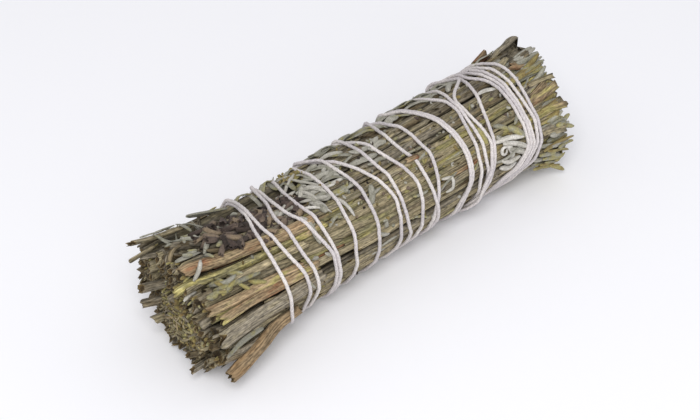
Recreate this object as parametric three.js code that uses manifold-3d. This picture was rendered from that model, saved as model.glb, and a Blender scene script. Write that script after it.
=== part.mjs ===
// A lavender smudge stick: dried lavender stems and leaves laid side by side and bound along their
// whole length with one cotton thread. It lies on its side.
// Millimetres. X runs along the stick from the near cut ends to the far ones, Z is up, and the stick
// rests on Z = 0 with its box centred on X = Y = 0. Until it is centred at the very end, X counts from
// the middle of the tightly bound waist, and Z from the surface.
// Angles go round the stick in degrees: 0 is the top, 90 the front (-Y), 180 the underside, 270 the back.

import * as THREE from "three";
import { mergeVertices } from "three/addons/utils/BufferGeometryUtils.js";
import Module from "manifold-3d";

// Driving dimensions.
const NEAR_END = -53.4; // the furthest stem ends, 110 mm apart
const FAR_END = 56.6;
const AXIS_HEIGHT = 13.1; // the stick's own axis above the surface, low enough to press its underside flat
const THREAD_DIAMETER = 0.8;
const CLEARANCE = 0.3; // between pieces that touch on the real stick
const BUNDLE_RADIUS = 13.4; // round the stems where the thread is tightest
const STEM_COUNT = 44;
const INNER_STEMS = 20; // the thick woody ones in the middle
const INNER_RADIUS = 1.78;
const OUTER_RADIUS = 1.42;
const RADIUS_SPREAD = 0.2; // stems are up to this much thinner or thicker
const NEAR_FACE = -50.2; // where the near ends are cut, on average
const FAR_FACE = 55;
const FACE_SLANT = 0.1; // the near cut leans: high stems reach this share of their height further
const CUT_SPREAD = 1.5; // each stem ends up to this much before or after its face
const HOLLOW_ANGLE = 4; // a stem on top, at this angle, is broken off short
const HOLLOW_END = -9; // and starts only here
// Stems that were cut longer than the rest, by their place on the near face from the stick's axis.
const STUBS = [
  { y: 9, z: 12, near: NEAR_END },
  { y: 9, z: -1, near: -53.2 },
  { y: 6, z: -5, near: -52.8 },
  { y: -9, z: -4, near: -52.4 },
];

// Where the stems' places are worked out, how far the untied ends spread there, sideways, upwards and
// downwards, as shares of the tightly bound waist, and how far the stems are twisted round the axis
// against the waist, in degrees: the near half of the bunch was turned as it was bound.
const STATIONS = [
  { x: -54, side: 1.36, up: 1.32, down: 1.06, twist: -34 },
  { x: -44, side: 1.28, up: 1.24, down: 1.05, twist: -27 },
  { x: -33, side: 1.14, up: 1.12, down: 1.0, twist: -19 },
  { x: -22, side: 1.05, up: 1.05, down: 1.0, twist: -10 },
  { x: 0, side: 1.0, up: 1.0, down: 1.0, twist: 0 },
  { x: 22, side: 1.02, up: 1.02, down: 1.0, twist: 0 },
  { x: 40, side: 1.05, up: 1.02, down: 1.0, twist: 0 },
  { x: 57, side: 1.16, up: 1.12, down: 1.06, twist: 0 },
];
const WAIST = 4; // the station where the thread is tightest
const LOOSE_RADIUS = 12; // the stems' middles fill a circle of this radius before they are pressed together
const SKIN_RADIUS = 9.5; // stems whose middles are further from the axis than this lie on the outside
const WAIST_ROUNDS = 1500; // rounds of pressing together at the waist
const DRIFT = 0.5; // how far a stem wanders between two stations
const DRIFT_ROUNDS = 300; // rounds of pressing together after each drift
const SINK = 0.008; // how far the stems' weight lowers them in one round
const BLUNT = 30; // degrees of a stem's outline that each of its blunt corners takes up
const PLACING_SEED = 11; // for the stems' thickness and drift
const CUTTING_SEED = 29; // for their cut ends and how each is turned

// The thread's turns from its first to its last, each as [angle, x] places. The turns go to the far
// end and come back over themselves.
const WINDING = [
  [[-150, -33], [-128, -28.5], [-48, -26.2], [-25, -27.4], [-3, -28.9], [16, -30.4], [35, -31.4],
   [52, -31.6], [69, -31.4], [84, -31.1], [100, -31.3], [150, -30.6], [205, -30]],
  [[-48, -26], [-22, -27], [-3, -27.8], [18, -28.3], [35, -28.1], [50, -27.6], [62, -26.8], [73, -26],
   [90, -25.6], [150, -25.2], [205, -25]],
  [[-46, -19.4], [-29, -20], [-8, -20.5], [14, -20.9], [30, -20.4], [45, -19.4], [60, -18.2],
   [71, -17.5], [90, -17.3], [150, -17.8], [205, -18]],
  [[-48, -15.1], [-29, -16.1], [-10, -16.9], [14, -17.4], [28, -17.5], [43, -17.1], [60, -16.8],
   [86, -16.6], [150, -16.6], [205, -16.6]],
  [[-48, -9.2], [-37, -9.4], [-18, -9.3], [3, -9.4], [24, -9.6], [43, -10], [58, -10.3], [71, -11],
   [81, -11.4], [94, -11.3], [150, -12], [205, -12.2]],
  [[-46, -6.8], [-35, -5.3], [-25, -3.8], [-18, -2.8], [-3, -1.1], [18, 0.6], [35, 1.9], [52, 2.9],
   [58, 3], [69, 2.4], [81, 2.1], [96, 2.1], [150, 0.4], [205, 0.3]],
  [[-48, 2.2], [-36, 4.2], [-29, 5.5], [-20, 6.4], [-3, 7.1], [16, 7.9], [35, 8.9], [48, 9.8], [56, 10],
   [69, 9.2], [79, 8.6], [94, 8.4], [150, 5.8], [205, 5.6]],
  [[-44, 13.6], [-37, 14.8], [-25, 15.6], [-10, 16.7], [5, 16.8], [22, 16.7], [35, 16.8], [48, 16.3],
   [62, 15.1], [75, 13.6], [88, 12.8], [98, 12.2], [150, 11], [205, 11]],
  [[-48, 19.2], [-33, 21.8], [-18, 23.2], [-3, 24.5], [14, 25.1], [35, 25.7], [45, 25.7], [62, 25],
   [77, 24], [90, 23.1], [105, 21.6], [150, 20.5], [205, 20.5]],
  [[-48, 27.2], [-37, 28.1], [-20, 29.4], [-8, 30.5], [5, 30.4], [22, 29.6], [39, 28.8], [52, 28.3],
   [62, 27.5], [77, 26.8], [90, 26.4], [150, 26.4], [205, 26.4]],
  [[-40, 32.6], [-29, 32.4], [-18, 32], [-7, 31.4], [7, 31], [22, 30.6], [40, 30.4], [52, 30.1],
   [62, 29.5], [75, 28.9], [90, 28.7], [150, 28.8], [205, 28.8]],
  [[-36, 39.6], [-24, 39.1], [-14, 38.6], [-1, 37.8], [16, 36.3], [35, 34.8], [52, 33.6], [62, 32.8],
   [77, 31.1], [92, 28.8], [127, 24.7], [205, 24.4]],
  [[-48, 39.8], [-25, 40.2], [-18, 41], [-10, 42.4], [1, 43], [20, 43], [41, 42.7], [56, 42.1],
   [76, 41.8], [90, 39.9], [97, 38.4], [111, 33.6], [150, 31.2], [205, 31.2]],
  [[-48, 41.6], [-25, 42.8], [-10, 43.7], [1, 44.1], [20, 43.9], [41, 43.4], [56, 42.8], [76, 42.6],
   [97, 39.6], [111, 35], [150, 32.6], [205, 32.6]],
  [[-48, 44], [-25, 45.6], [-10, 46.7], [5, 46.6], [22, 46.2], [39, 45.8], [52, 45.6], [76, 44.7],
   [98, 42], [113, 37.4], [150, 35.2], [205, 35.2]],
  [[-48, 45.6], [-29, 47.6], [-18, 48.6], [-6, 49], [7, 48.6], [22, 48], [37, 47.3], [47, 46.8],
   [60, 46.3], [77, 45.8], [90, 44.9], [103, 43.4], [114, 39.4], [150, 36.5], [205, 36.5]],
  [[-48, 42.8], [-25, 44.2], [-10, 44.8], [1, 45.1], [20, 44.8], [41, 44.3], [56, 43.7], [76, 43.5],
   [98, 41], [112, 36.4], [150, 33.9], [205, 33.9]],
  [[-29, 38.8], [-22, 36.6], [-16, 34.4], [-7, 32.6], [1, 32], [14, 31.8], [30, 32], [45, 32.3],
   [58, 32.2], [72, 30.6], [92, 27.5], [150, 23], [205, 23]],
  [[-48, 18.4], [-33, 21], [-18, 22.4], [-3, 23.7], [14, 24.3], [35, 24.9], [45, 24.9], [62, 24.2],
   [77, 23.2], [90, 22.3], [105, 20.6], [150, 19.1], [205, 19.1]],
  [[-43, 13], [-37, 12.8], [-20, 12.1], [-3, 11.8], [18, 12], [39, 12.6], [52, 12.6], [66, 12.5],
   [77, 12.4], [90, 12.6], [105, 12.6], [150, 12.6], [205, 12.6]],
  [[-45, 3], [-33, 3.7], [-18, 3.9], [-3, 4.1], [18, 4.2], [35, 4.5], [48, 4.5], [64, 4.2], [75, 3.9],
   [90, 4.4], [105, 5], [150, 4.1], [205, 4.1]],
  [[-46, -7.4], [-35, -5.9], [-25, -4.4], [-12, -4.1], [5, -3.6], [26, -3.1], [43, -3.2], [58, -3.4],
   [73, -4.2], [81, -4.6], [92, -4.6], [150, -5.5], [205, -5.6]],
  [[-44, -20.3], [-22, -21.4], [-3, -22.9], [16, -24.1], [35, -24.6], [52, -24.4], [69, -23.7],
   [81, -23.3], [92, -23.1], [205, -23.2], [232, -28.5], [254, -31]],
];
const ROUTE_STEP = 4; // degrees between the places where the thread's height is worked out
const HAIR = 0.1; // a straight stretch of the thread's solid may stray this far from its route
const TAUT_ROUNDS = 300; // passes that pull the thread tight
const KNOT_ANGLE = 232; // on the last turn, at the back of the stick
const KNOT_X = -28.5;
const KNOT_SIZE = [1.5, 1.15, 1.0]; // along the stick, round it and outwards, from the middle

// A split brown stem lies along the front of the near end, over the stems: its places as [x, angle].
const BARK_PLACES = [[-52.4, 114], [-45, 112], [-37, 108], [-28.4, 103]];
const BARK_HALF_WIDTHS = [2.1, 2.3, 2.0, 1.3]; // at those places
const BARK_TIP_LIFT = 1.6; // its free end springs this far off the stems
const BARK_HALF_THICKNESS = 0.55;
const BARK_RINGS = 9;

// Dried leaves, narrow and stiff, that lie on the stems or in the hollow of the short one. Each has its
// [x, angle] places from foot to tip.
const LEAVES = [
  { places: [[-31.4, -10], [-36, -20], [-41, -31]], halfWidth: 1.0 },
  { places: [[-9.8, 6], [-13.5, 3], [-17.4, 2]], halfWidth: 0.7 },
  { places: [[-18.2, 5], [-23, 3], [-28.5, 5]], halfWidth: 0.8 },
  { places: [[-35.4, 50], [-41, 47], [-47, 43]], halfWidth: 0.8 },
  { places: [[34.4, 57], [36, 67], [36.9, 79], [36, 90]], halfWidth: 0.9 },
  { places: [[35.4, 46], [37, 52], [38.6, 60]], halfWidth: 0.6 },
  { places: [[48.4, 82], [52, 87], [56.2, 85]], halfWidth: 0.8 },
  { places: [[45, 116], [49.5, 123], [54, 128]], halfWidth: 0.9 },
];
const LEAF_HALF_THICKNESS = 0.25;
const LEAF_OUTLINE = [[0, 0.4], [0.33, 1], [0.8, 0.75], [1, 0.25]]; // its width along it
const LEAF_RINGS = 8;
const LINE_STEPS = 7; // places where a leaf's or the strip's height over the stems is worked out
const BESIDE = [-1, -0.5, 0, 0.5, 1]; // the shares of its half width where that height is worked out
const RIDGES = [-0.7, 0, 0.7]; // the shares where the thread bears on it

const DEGREE = Math.PI / 180;
const GOLDEN_ANGLE = 137.5 * DEGREE;

// A repeatable stream of numbers from -1 to 1.
function wobbles(seed) {
  let state = seed;
  return () => {
    state = (state * 16807) % 2147483647;
    return (2 * state) / 2147483647 - 1;
  };
}

// The point at a distance from the stick's axis, in the direction of an angle in degrees.
function around(x, radius, angle) {
  const turn = angle * DEGREE;
  return new THREE.Vector3(x, -radius * Math.sin(turn), AXIS_HEIGHT + radius * Math.cos(turn));
}

// A smooth value at a place between knots given as [place, value]. It never swings past a knot.
function smoothBetween(knots, place) {
  let k = 0;
  while (k < knots.length - 2 && place > knots[k + 1][0]) k += 1;
  const rise = (i) => (knots[i + 1][1] - knots[i][1]) / (knots[i + 1][0] - knots[i][0]);
  const slope = (i) => {
    if (i === 0 || i === knots.length - 1) return 0;
    const [before, after] = [rise(i - 1), rise(i)];
    return before * after > 0 ? (2 * before * after) / (before + after) : 0;
  };
  const [start, end] = [knots[k], knots[k + 1]];
  const span = end[0] - start[0];
  const t = THREE.MathUtils.clamp((place - start[0]) / span, 0, 1);
  const s = t * t * (3 - 2 * t);
  const bend = t * (1 - t) * span;
  return start[1] + (end[1] - start[1]) * s + bend * ((1 - t) * slope(k) - t * slope(k + 1));
}

// A straight extrusion of a section, with each of its points then put where place(along, a, b) says:
// along goes from 0 to 1 and a and b are the point's place in the section.
function bentExtrusion(section, steps, place) {
  const settings = { depth: 1, steps, bevelEnabled: false };
  const geometry = new THREE.ExtrudeGeometry(new THREE.Shape(section), settings);
  const points = geometry.attributes.position;
  for (let i = 0; i < points.count; i += 1) {
    const spot = place(points.getZ(i), points.getX(i), points.getY(i));
    points.setXYZ(i, spot.x, spot.y, spot.z);
  }
  geometry.computeVertexNormals();
  return geometry;
}

// A round section of a few sides.
function roundSection(sides, radius) {
  return Array.from({ length: sides }, (_, i) => {
    const turn = (2 * Math.PI * i) / sides;
    return new THREE.Vector2(radius * Math.cos(turn), radius * Math.sin(turn));
  });
}

// A lavender stem is square with blunt corners: four flat sides and four narrow ones.
function squareSection() {
  const corners = [45, 135, 225, 315].flatMap((corner) => [corner - BLUNT / 2, corner + BLUNT / 2]);
  return corners.map((turn) => new THREE.Vector2(Math.cos(turn * DEGREE), Math.sin(turn * DEGREE)));
}

// ---- Stems ----

// Moves the stems' places, seen along the stick, until none touches its neighbour, all lie inside the
// squeeze of the thread, and the lowest lie on the level of the thread that passes under them.
function pressTogether(spots, rounds) {
  const lowest = THREAD_DIAMETER + CLEARANCE - AXIS_HEIGHT;
  for (let round = 0; round < rounds; round += 1) {
    for (const spot of spots) {
      const away = Math.hypot(spot.y, spot.z);
      const squeeze = Math.min(1, (BUNDLE_RADIUS - spot.radius) / away);
      spot.y *= squeeze;
      spot.z = Math.max(spot.z * squeeze - SINK, lowest + spot.radius);
    }
    spots.forEach((one, i) =>
      spots.slice(i + 1).forEach((two) => {
        const y = two.y - one.y;
        const z = two.z - one.z;
        const apart = Math.hypot(y, z);
        const wanted = one.radius + two.radius + CLEARANCE;
        if (apart >= wanted) return;
        const push = (wanted - apart) / 2 / apart;
        one.y -= y * push;
        one.z -= z * push;
        two.y += y * push;
        two.z += z * push;
      }),
    );
  }
  for (const spot of spots) spot.z = Math.max(spot.z, lowest + spot.radius);
  return spots;
}

// The stems' places turned round the axis.
function twisted(spots, angle) {
  const [cos, sin] = [Math.cos(angle * DEGREE), Math.sin(angle * DEGREE)];
  return spots.map(({ y, z, radius }) => ({ y: y * cos - z * sin, z: z * cos + y * sin, radius }));
}

// The tightly bound places of all stems at each station: first the waist, then the stations on
// either side of it, each started from the one before.
function stemPlaces() {
  const wobble = wobbles(PLACING_SEED);
  const waist = Array.from({ length: STEM_COUNT }, (_, i) => {
    const middle = i < INNER_STEMS ? INNER_RADIUS : OUTER_RADIUS;
    const away = LOOSE_RADIUS * Math.sqrt((i + 0.5) / STEM_COUNT);
    const turn = i * GOLDEN_ANGLE;
    return {
      y: away * Math.cos(turn),
      z: away * Math.sin(turn),
      radius: middle + RADIUS_SPREAD * wobble(),
    };
  });
  const places = [];
  places[WAIST] = pressTogether(waist, WAIST_ROUNDS);
  const placed = (s, before) => {
    const turned = twisted(places[before], STATIONS[s].twist - STATIONS[before].twist);
    const drifted = turned.map(({ y, z, radius }) => ({
      y: y + DRIFT * wobble(),
      z: z + DRIFT * wobble(),
      radius,
    }));
    return pressTogether(drifted, DRIFT_ROUNDS);
  };
  for (let s = WAIST - 1; s >= 0; s -= 1) places[s] = placed(s, s + 1);
  for (let s = WAIST + 1; s < STATIONS.length; s += 1) places[s] = placed(s, s - 1);
  return places;
}

const PLACES = stemPlaces();

// Where a stem's middle is at each station once the ends have spread.
function stemKnots(index) {
  return STATIONS.map(({ x, side, up, down }, s) => {
    const { y, z } = PLACES[s][index];
    return { x, y: y * side, z: AXIS_HEIGHT + z * (z > 0 ? up : down) };
  });
}

// The middle of a stem, or of a ridge of a flat piece, at any x: it runs straight between its knots.
function middleAt({ knots }, x) {
  let k = 0;
  while (k < knots.length - 2 && x > knots[k + 1].x) k += 1;
  const [start, end] = [knots[k], knots[k + 1]];
  const share = (x - start.x) / (end.x - start.x);
  return {
    y: THREE.MathUtils.lerp(start.y, end.y, share),
    z: THREE.MathUtils.lerp(start.z, end.z, share),
  };
}

// Stems in full, with where each is cut. One on top is broken off short, which leaves the hollow
// that the leaves lie in.
function makeStems() {
  const wobble = wobbles(CUTTING_SEED);
  const stems = PLACES[WAIST].map(({ y, z, radius }, i) => ({
    knots: stemKnots(i),
    radius,
    away: Math.hypot(y, z),
    angle: Math.atan2(-y, z) / DEGREE,
    near: NEAR_FACE - FACE_SLANT * z + CUT_SPREAD * wobble(),
    far: FAR_FACE + CUT_SPREAD * wobble(),
    turn: 45 * DEGREE * wobble(),
  }));
  stems.forEach((stem) => {
    stem.near = Math.max(stem.near, NEAR_END);
    stem.far = Math.min(stem.far, FAR_END);
  });
  const outerAt = (angle) => {
    const outer = stems.filter((stem) => stem.away > SKIN_RADIUS);
    return outer.sort((one, two) => Math.abs(one.angle - angle) - Math.abs(two.angle - angle))[0];
  };
  outerAt(HOLLOW_ANGLE).near = HOLLOW_END;
  for (const { y, z, near } of STUBS) {
    const distance = ({ knots: [end] }) => Math.hypot(end.y - y, end.z - AXIS_HEIGHT - z);
    stems.sort((one, two) => distance(one) - distance(two))[0].near = near;
  }
  stems.sort((one, two) => one.away - two.away)[STEM_COUNT - 1].far = FAR_END;
  return stems;
}

function stemGeometry(stem) {
  const rings = [stem.near, ...STATIONS.map(({ x }) => x), stem.far].filter(
    (x) => x >= stem.near && x <= stem.far,
  );
  const steps = rings.length - 1;
  return bentExtrusion(squareSection(), steps, (along, a, b) => {
    const x = rings[Math.round(along * steps)];
    const middle = middleAt(stem, x);
    const [cos, sin] = [Math.cos(stem.turn), Math.sin(stem.turn)];
    const y = middle.y + stem.radius * (a * cos - b * sin);
    const z = middle.z + stem.radius * (a * sin + b * cos);
    return { x, y, z };
  });
}

// How far from the axis a thing half this thick must be to clear a stem or a ridge at an angle.
function reachOver(stem, x, angle, half) {
  const { y, z } = middleAt(stem, x);
  const away = Math.hypot(y, z - AXIS_HEIGHT);
  const off = Math.atan2(-y, z - AXIS_HEIGHT) - angle * DEGREE;
  const size = stem.radius + CLEARANCE + half;
  const miss = away * Math.sin(off);
  if (Math.abs(miss) > size || Math.cos(off) < 0) return 0;
  return away * Math.cos(off) + Math.sqrt(size * size - miss * miss);
}

function reachOverAll(stems, x, angle, half) {
  const there = stems.filter((stem) => x > stem.near - 1 && x < stem.far + 1);
  return Math.max(...there.map((stem) => reachOver(stem, x, angle, half)));
}

// ---- Bark strip and leaves ----

// The line that a flat piece follows on top of the stems, clear of them over its whole width.
function lineOnStems(stems, { places, halfWidth, halfThickness, liftAt = () => 0 }) {
  const way = new THREE.SplineCurve(places.map(([x, angle]) => new THREE.Vector2(x, angle)));
  const points = way.getPoints(LINE_STEPS).map(({ x, y: angle }, i) => {
    const reach = (side) => {
      const beside = angle + (side * halfWidth) / BUNDLE_RADIUS / DEGREE;
      return reachOverAll(stems, x, beside, halfThickness);
    };
    const lying = Math.max(...BESIDE.map(reach)) + liftAt(i / LINE_STEPS);
    return around(x, lying, angle);
  });
  return new THREE.CatmullRomCurve3(points);
}

// Where a point of a flat piece's section is: its face is turned outwards all along its line.
function onFlatPiece({ line, halfWidthAt, halfThickness }, along, a, b) {
  const middle = line.getPoint(along);
  const forward = line.getTangent(along);
  const out = new THREE.Vector3(0, middle.y, middle.z - AXIS_HEIGHT).normalize();
  const across = new THREE.Vector3().crossVectors(out, forward).normalize();
  const up = new THREE.Vector3().crossVectors(forward, across);
  return middle
    .addScaledVector(across, a * halfWidthAt(along))
    .addScaledVector(up, b * halfThickness);
}

function flatPieceGeometry(piece, rings) {
  const section = roundSection(6, 1);
  return bentExtrusion(section, rings, (along, a, b) => onFlatPiece(piece, along, a, b));
}

// What the thread bears on where it crosses a flat piece: its middle and both sides.
function ridgesOf(piece) {
  return RIDGES.map((side) => {
    const steps = Array.from({ length: LINE_STEPS + 1 }, (_, i) => i / LINE_STEPS);
    const knots = steps.map((along) => onFlatPiece(piece, along, side, 0));
    knots.sort((one, two) => one.x - two.x);
    return { knots, near: knots[0].x, far: knots[LINE_STEPS].x, radius: piece.halfThickness };
  });
}

function barkStrip(stems) {
  const halfWidth = Math.max(...BARK_HALF_WIDTHS);
  const halfThickness = BARK_HALF_THICKNESS;
  const widths = BARK_HALF_WIDTHS.map((width, i) => [i / (BARK_HALF_WIDTHS.length - 1), width]);
  const liftAt = (along) => BARK_TIP_LIFT * (1 - along) ** 2;
  const line = lineOnStems(stems, { places: BARK_PLACES, halfWidth, halfThickness, liftAt });
  return { line, halfThickness, halfWidthAt: (along) => smoothBetween(widths, along) };
}

// A leaf widens quickly from its foot, is widest at a third and narrows to a blunt tip.
function leafOn(stems, { places, halfWidth }) {
  const halfThickness = LEAF_HALF_THICKNESS;
  const line = lineOnStems(stems, { places, halfWidth, halfThickness });
  const halfWidthAt = (along) => halfWidth * smoothBetween(LEAF_OUTLINE, along);
  return { line, halfThickness, halfWidthAt };
}

// ---- Thread ----

// The thread's way round the stick: its x at every step of the angle, from the first turn to the last.
function windingRoute() {
  const knots = WINDING.flatMap((turn, k) => turn.map(([angle, x]) => [angle + 360 * k, x]));
  const route = [];
  for (let angle = knots[0][0]; angle <= knots[knots.length - 1][0]; angle += ROUTE_STEP)
    route.push({ angle, x: smoothBetween(knots, angle) });
  return route;
}

// Pulls the route tight: a straight stretch between two supports is a straight line in 1 / distance.
function pullTight(route) {
  const spread = 2 * Math.cos(ROUTE_STEP * DEGREE);
  for (let round = 0; round < TAUT_ROUNDS; round += 1) {
    for (let i = 1; i < route.length - 1; i += 1) {
      const straight = (1 / route[i - 1].away + 1 / route[i + 1].away) / spread;
      if (1 / route[i].away > straight) route[i].away = 1 / straight;
    }
  }
}

// Later turns pass over the earlier ones that they cross.
function liftOverEarlierTurns(route) {
  const perTurn = 360 / ROUTE_STEP;
  const apart = THREAD_DIAMETER + CLEARANCE;
  for (let first = perTurn; first < route.length; first += perTurn) {
    const last = Math.min(first + perTurn, route.length);
    for (let i = first; i < last; i += 1) {
      for (let j = i - perTurn; j >= 0; j -= perTurn) {
        const beside = route[i].x - route[j].x;
        if (Math.abs(beside) >= apart) continue;
        const over = route[j].away + Math.sqrt(apart * apart - beside * beside);
        route[i].away = Math.max(route[i].away, over);
      }
    }
    pullTight(route);
  }
}

function threadRoute(bundle) {
  const route = windingRoute();
  for (const place of route)
    place.away = reachOverAll(bundle, place.x, place.angle, THREAD_DIAMETER / 2);
  pullTight(route);
  liftOverEarlierTurns(route);
  return route;
}

// The places of the route that its solid needs: the others lie within a hair of a straight stretch.
function neededPlaces(route) {
  const spots = route.map(({ x, away, angle }) => around(x, away, angle));
  const needed = [0];
  for (let i = 2; i < route.length; i += 1) {
    const last = needed[needed.length - 1];
    const stretch = new THREE.Line3(spots[last], spots[i]);
    const nearest = (spot) => stretch.closestPointToPoint(spot, true, new THREE.Vector3());
    const stray = (spot) => nearest(spot).distanceTo(spot) > HAIR;
    if (spots.slice(last + 1, i).some(stray)) needed.push(i - 1);
  }
  return [...needed, route.length - 1].map((i) => route[i]);
}

function threadGeometry(route) {
  const rings = neededPlaces(route);
  const steps = rings.length - 1;
  const radius = THREAD_DIAMETER / 2;
  return bentExtrusion(roundSection(6, radius), steps, (along, a, b) => {
    const ring = rings[Math.round(along * steps)];
    return around(ring.x + a, ring.away + b, ring.angle);
  });
}

// The knot that ties the two ends of the thread together.
function knotGeometry(route) {
  const place = route.find(({ angle }) => angle >= KNOT_ANGLE - 360);
  const knot = new THREE.SphereGeometry(1, 10, 8);
  knot.scale(KNOT_SIZE[0], KNOT_SIZE[1], KNOT_SIZE[2]);
  knot.rotateX(KNOT_ANGLE * DEGREE);
  const middle = around(KNOT_X, place.away + THREAD_DIAMETER / 2, KNOT_ANGLE);
  knot.translate(middle.x, middle.y, middle.z);
  return knot;
}

// ---- Joining solids ----

const manifold = await Module();
manifold.setup();

function solidOf(geometry) {
  const bare = geometry.clone();
  bare.deleteAttribute("normal");
  bare.deleteAttribute("uv");
  const merged = mergeVertices(bare, 1e-3);
  const triVerts = new Uint32Array(merged.index.array);
  const vertProperties = merged.attributes.position.array;
  return new manifold.Manifold(new manifold.Mesh({ numProp: 3, vertProperties, triVerts }));
}

function joined(one, two) {
  const mesh = solidOf(one).add(solidOf(two)).getMesh();
  const geometry = new THREE.BufferGeometry();
  geometry.setAttribute("position", new THREE.BufferAttribute(mesh.vertProperties, 3));
  geometry.setIndex(new THREE.BufferAttribute(mesh.triVerts, 1));
  geometry.computeVertexNormals();
  return geometry;
}

// ---- Materials and assembly ----

const COLOURS = { stem: 0x8a8060, bark: 0x8a6848, leaf: 0x98a088, thread: 0xe6dfe6 };

function named(name, geometry, colour) {
  const material = new THREE.MeshStandardMaterial({ color: colour, roughness: 0.9, metalness: 0 });
  const mesh = new THREE.Mesh(geometry, material);
  mesh.name = name;
  return mesh;
}

const number = (i) => String(i + 1).padStart(2, "0");

function smudgeStick() {
  const stick = new THREE.Group();
  const stems = makeStems();
  stems.forEach((stem, i) => stick.add(named(`stem_${number(i)}`, stemGeometry(stem), COLOURS.stem)));
  const bark = barkStrip(stems);
  stick.add(named("bark_strip", flatPieceGeometry(bark, BARK_RINGS), COLOURS.bark));
  const leaves = LEAVES.map((leaf) => leafOn(stems, leaf));
  leaves.forEach((leaf, i) =>
    stick.add(named(`leaf_${number(i)}`, flatPieceGeometry(leaf, LEAF_RINGS), COLOURS.leaf)),
  );
  const route = threadRoute([...stems, ...[bark, ...leaves].flatMap(ridgesOf)]);
  const thread = joined(threadGeometry(route), knotGeometry(route));
  stick.add(named("binding_thread", thread, COLOURS.thread));
  const box = new THREE.Box3().setFromObject(stick);
  const middle = box.getCenter(new THREE.Vector3());
  stick.position.set(-middle.x, -middle.y, -box.min.z);
  return stick;
}

const stick = smudgeStick();
export default stick;
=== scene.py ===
# %% [markdown]
# # A lavender smudge stick
# A smudge stick is a bunch of dried lavender, stems and leaves together, pressed into a roll and bound
# from end to end with one cotton thread. This lesson grows the bunch the way the binder made it: stems
# first, then thin twigs and split pieces in the gaps, then the thread, leaves and flower crumbs. The
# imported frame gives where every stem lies, so the first step is to load it.

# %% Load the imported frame
import math

import bpy
import numpy as np
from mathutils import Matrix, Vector
from mathutils.bvhtree import BVHTree
from mathutils.kdtree import KDTree


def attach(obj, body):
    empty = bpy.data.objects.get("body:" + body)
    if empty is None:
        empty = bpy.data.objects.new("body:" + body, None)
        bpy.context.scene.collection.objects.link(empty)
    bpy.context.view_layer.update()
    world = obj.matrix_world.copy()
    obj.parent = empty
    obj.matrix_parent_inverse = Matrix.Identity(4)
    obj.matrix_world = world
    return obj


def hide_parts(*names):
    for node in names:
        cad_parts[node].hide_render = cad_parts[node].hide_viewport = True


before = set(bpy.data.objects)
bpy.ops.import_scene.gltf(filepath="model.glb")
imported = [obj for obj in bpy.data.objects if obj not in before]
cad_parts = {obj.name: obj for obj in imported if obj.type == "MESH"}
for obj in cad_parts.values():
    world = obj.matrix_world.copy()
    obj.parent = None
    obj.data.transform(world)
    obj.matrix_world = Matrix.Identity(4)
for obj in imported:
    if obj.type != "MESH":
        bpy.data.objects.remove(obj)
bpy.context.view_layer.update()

print("nodes in the frame:", len(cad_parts))

# %% [markdown]
# ## Millimetres round an axis
# Everything on the stick is placed round its long axis, so a place is three numbers: x along the stick,
# how far away from the axis, and the angle round it, where 0 is the top and 90 the front. Working in
# millimetres keeps the numbers readable. They turn into Blender's metres only when a mesh is made.

# %% Places round the stick
MM = 0.001
AXIS_Y, AXIS_Z = 0.443, 13.036  # where the stick's own axis runs, along X
GIRTH_RADIUS = 13.5  # of the bound bunch, to turn widths into angles


def around(x, away, angle):
    """Points from their x, distance from the axis and angle in degrees."""
    turn = np.radians(angle)
    y, z = AXIS_Y - away * np.sin(turn), AXIS_Z + away * np.cos(turn)
    return np.stack(np.broadcast_arrays(x, y, z), -1)


def unrolled(points):
    """The x, distance and angle of points."""
    y, z = points[..., 1] - AXIS_Y, points[..., 2] - AXIS_Z
    return points[..., 0], np.hypot(y, z), np.degrees(np.arctan2(-y, z))


def as_angle(width):
    """How many degrees of the girth a width in millimetres takes up."""
    return np.degrees(width / GIRTH_RADIUS)


def kept_above(line, height):
    """Lifts the points of a line that lie lower than a height over the floor."""
    line[:, 2] = np.maximum(line[:, 2], height)
    return line


print("a quarter of the way round, 10 mm out:", around(0.0, 10.0, 90.0).round(2))

# %% [markdown]
# ## Lines and directions
# A stem, a leaf and a thread are all a section carried along a line. At each point of the line the
# section needs three directions: forward, up, which is away from the stick's axis, and the side. A
# Blender curve with a bevel could carry a section too, but it would be the same section all the way,
# and nothing that grew is. So the lines are plain arrays of points, and the section may change.

# %% Lines
def unit(vectors):
    """The same directions at length 1."""
    return vectors / np.maximum(np.linalg.norm(vectors, axis=-1, keepdims=True), 1e-9)


def distance_along(line):
    """How far along a line each of its points is."""
    return np.concatenate([[0.0], np.cumsum(np.linalg.norm(np.diff(line, axis=0), axis=1))])


def at_xs(line, xs):
    """The points of a line along the stick at these x values."""
    y, z = (np.interp(xs, line[:, 0], line[:, axis]) for axis in (1, 2))
    return np.stack([xs, y, z], -1)


def resampled(line, at, spots):
    """The points of a line whose own points are `at` some values, at other values between them."""
    return np.stack([np.interp(spots, at, line[:, axis]) for axis in range(3)], -1)


def smoothed(values, rounds):
    """Evens out values or points between the first and the last."""
    for _ in range(rounds):
        values[1:-1] = (values[:-2] + 2 * values[1:-1] + values[2:]) / 4
    return values


def wander(places, period, dice):
    """A smooth random line between -1 and 1 that changes about every `period` millimetres."""
    place = (places - places.min()) / period + dice.uniform()
    values = dice.uniform(-1, 1, int(place.max()) + 2)
    low = place.astype(int)
    share = place - low
    share = share * share * (3 - 2 * share)
    return values[low] * (1 - share) + values[low + 1] * share


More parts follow.
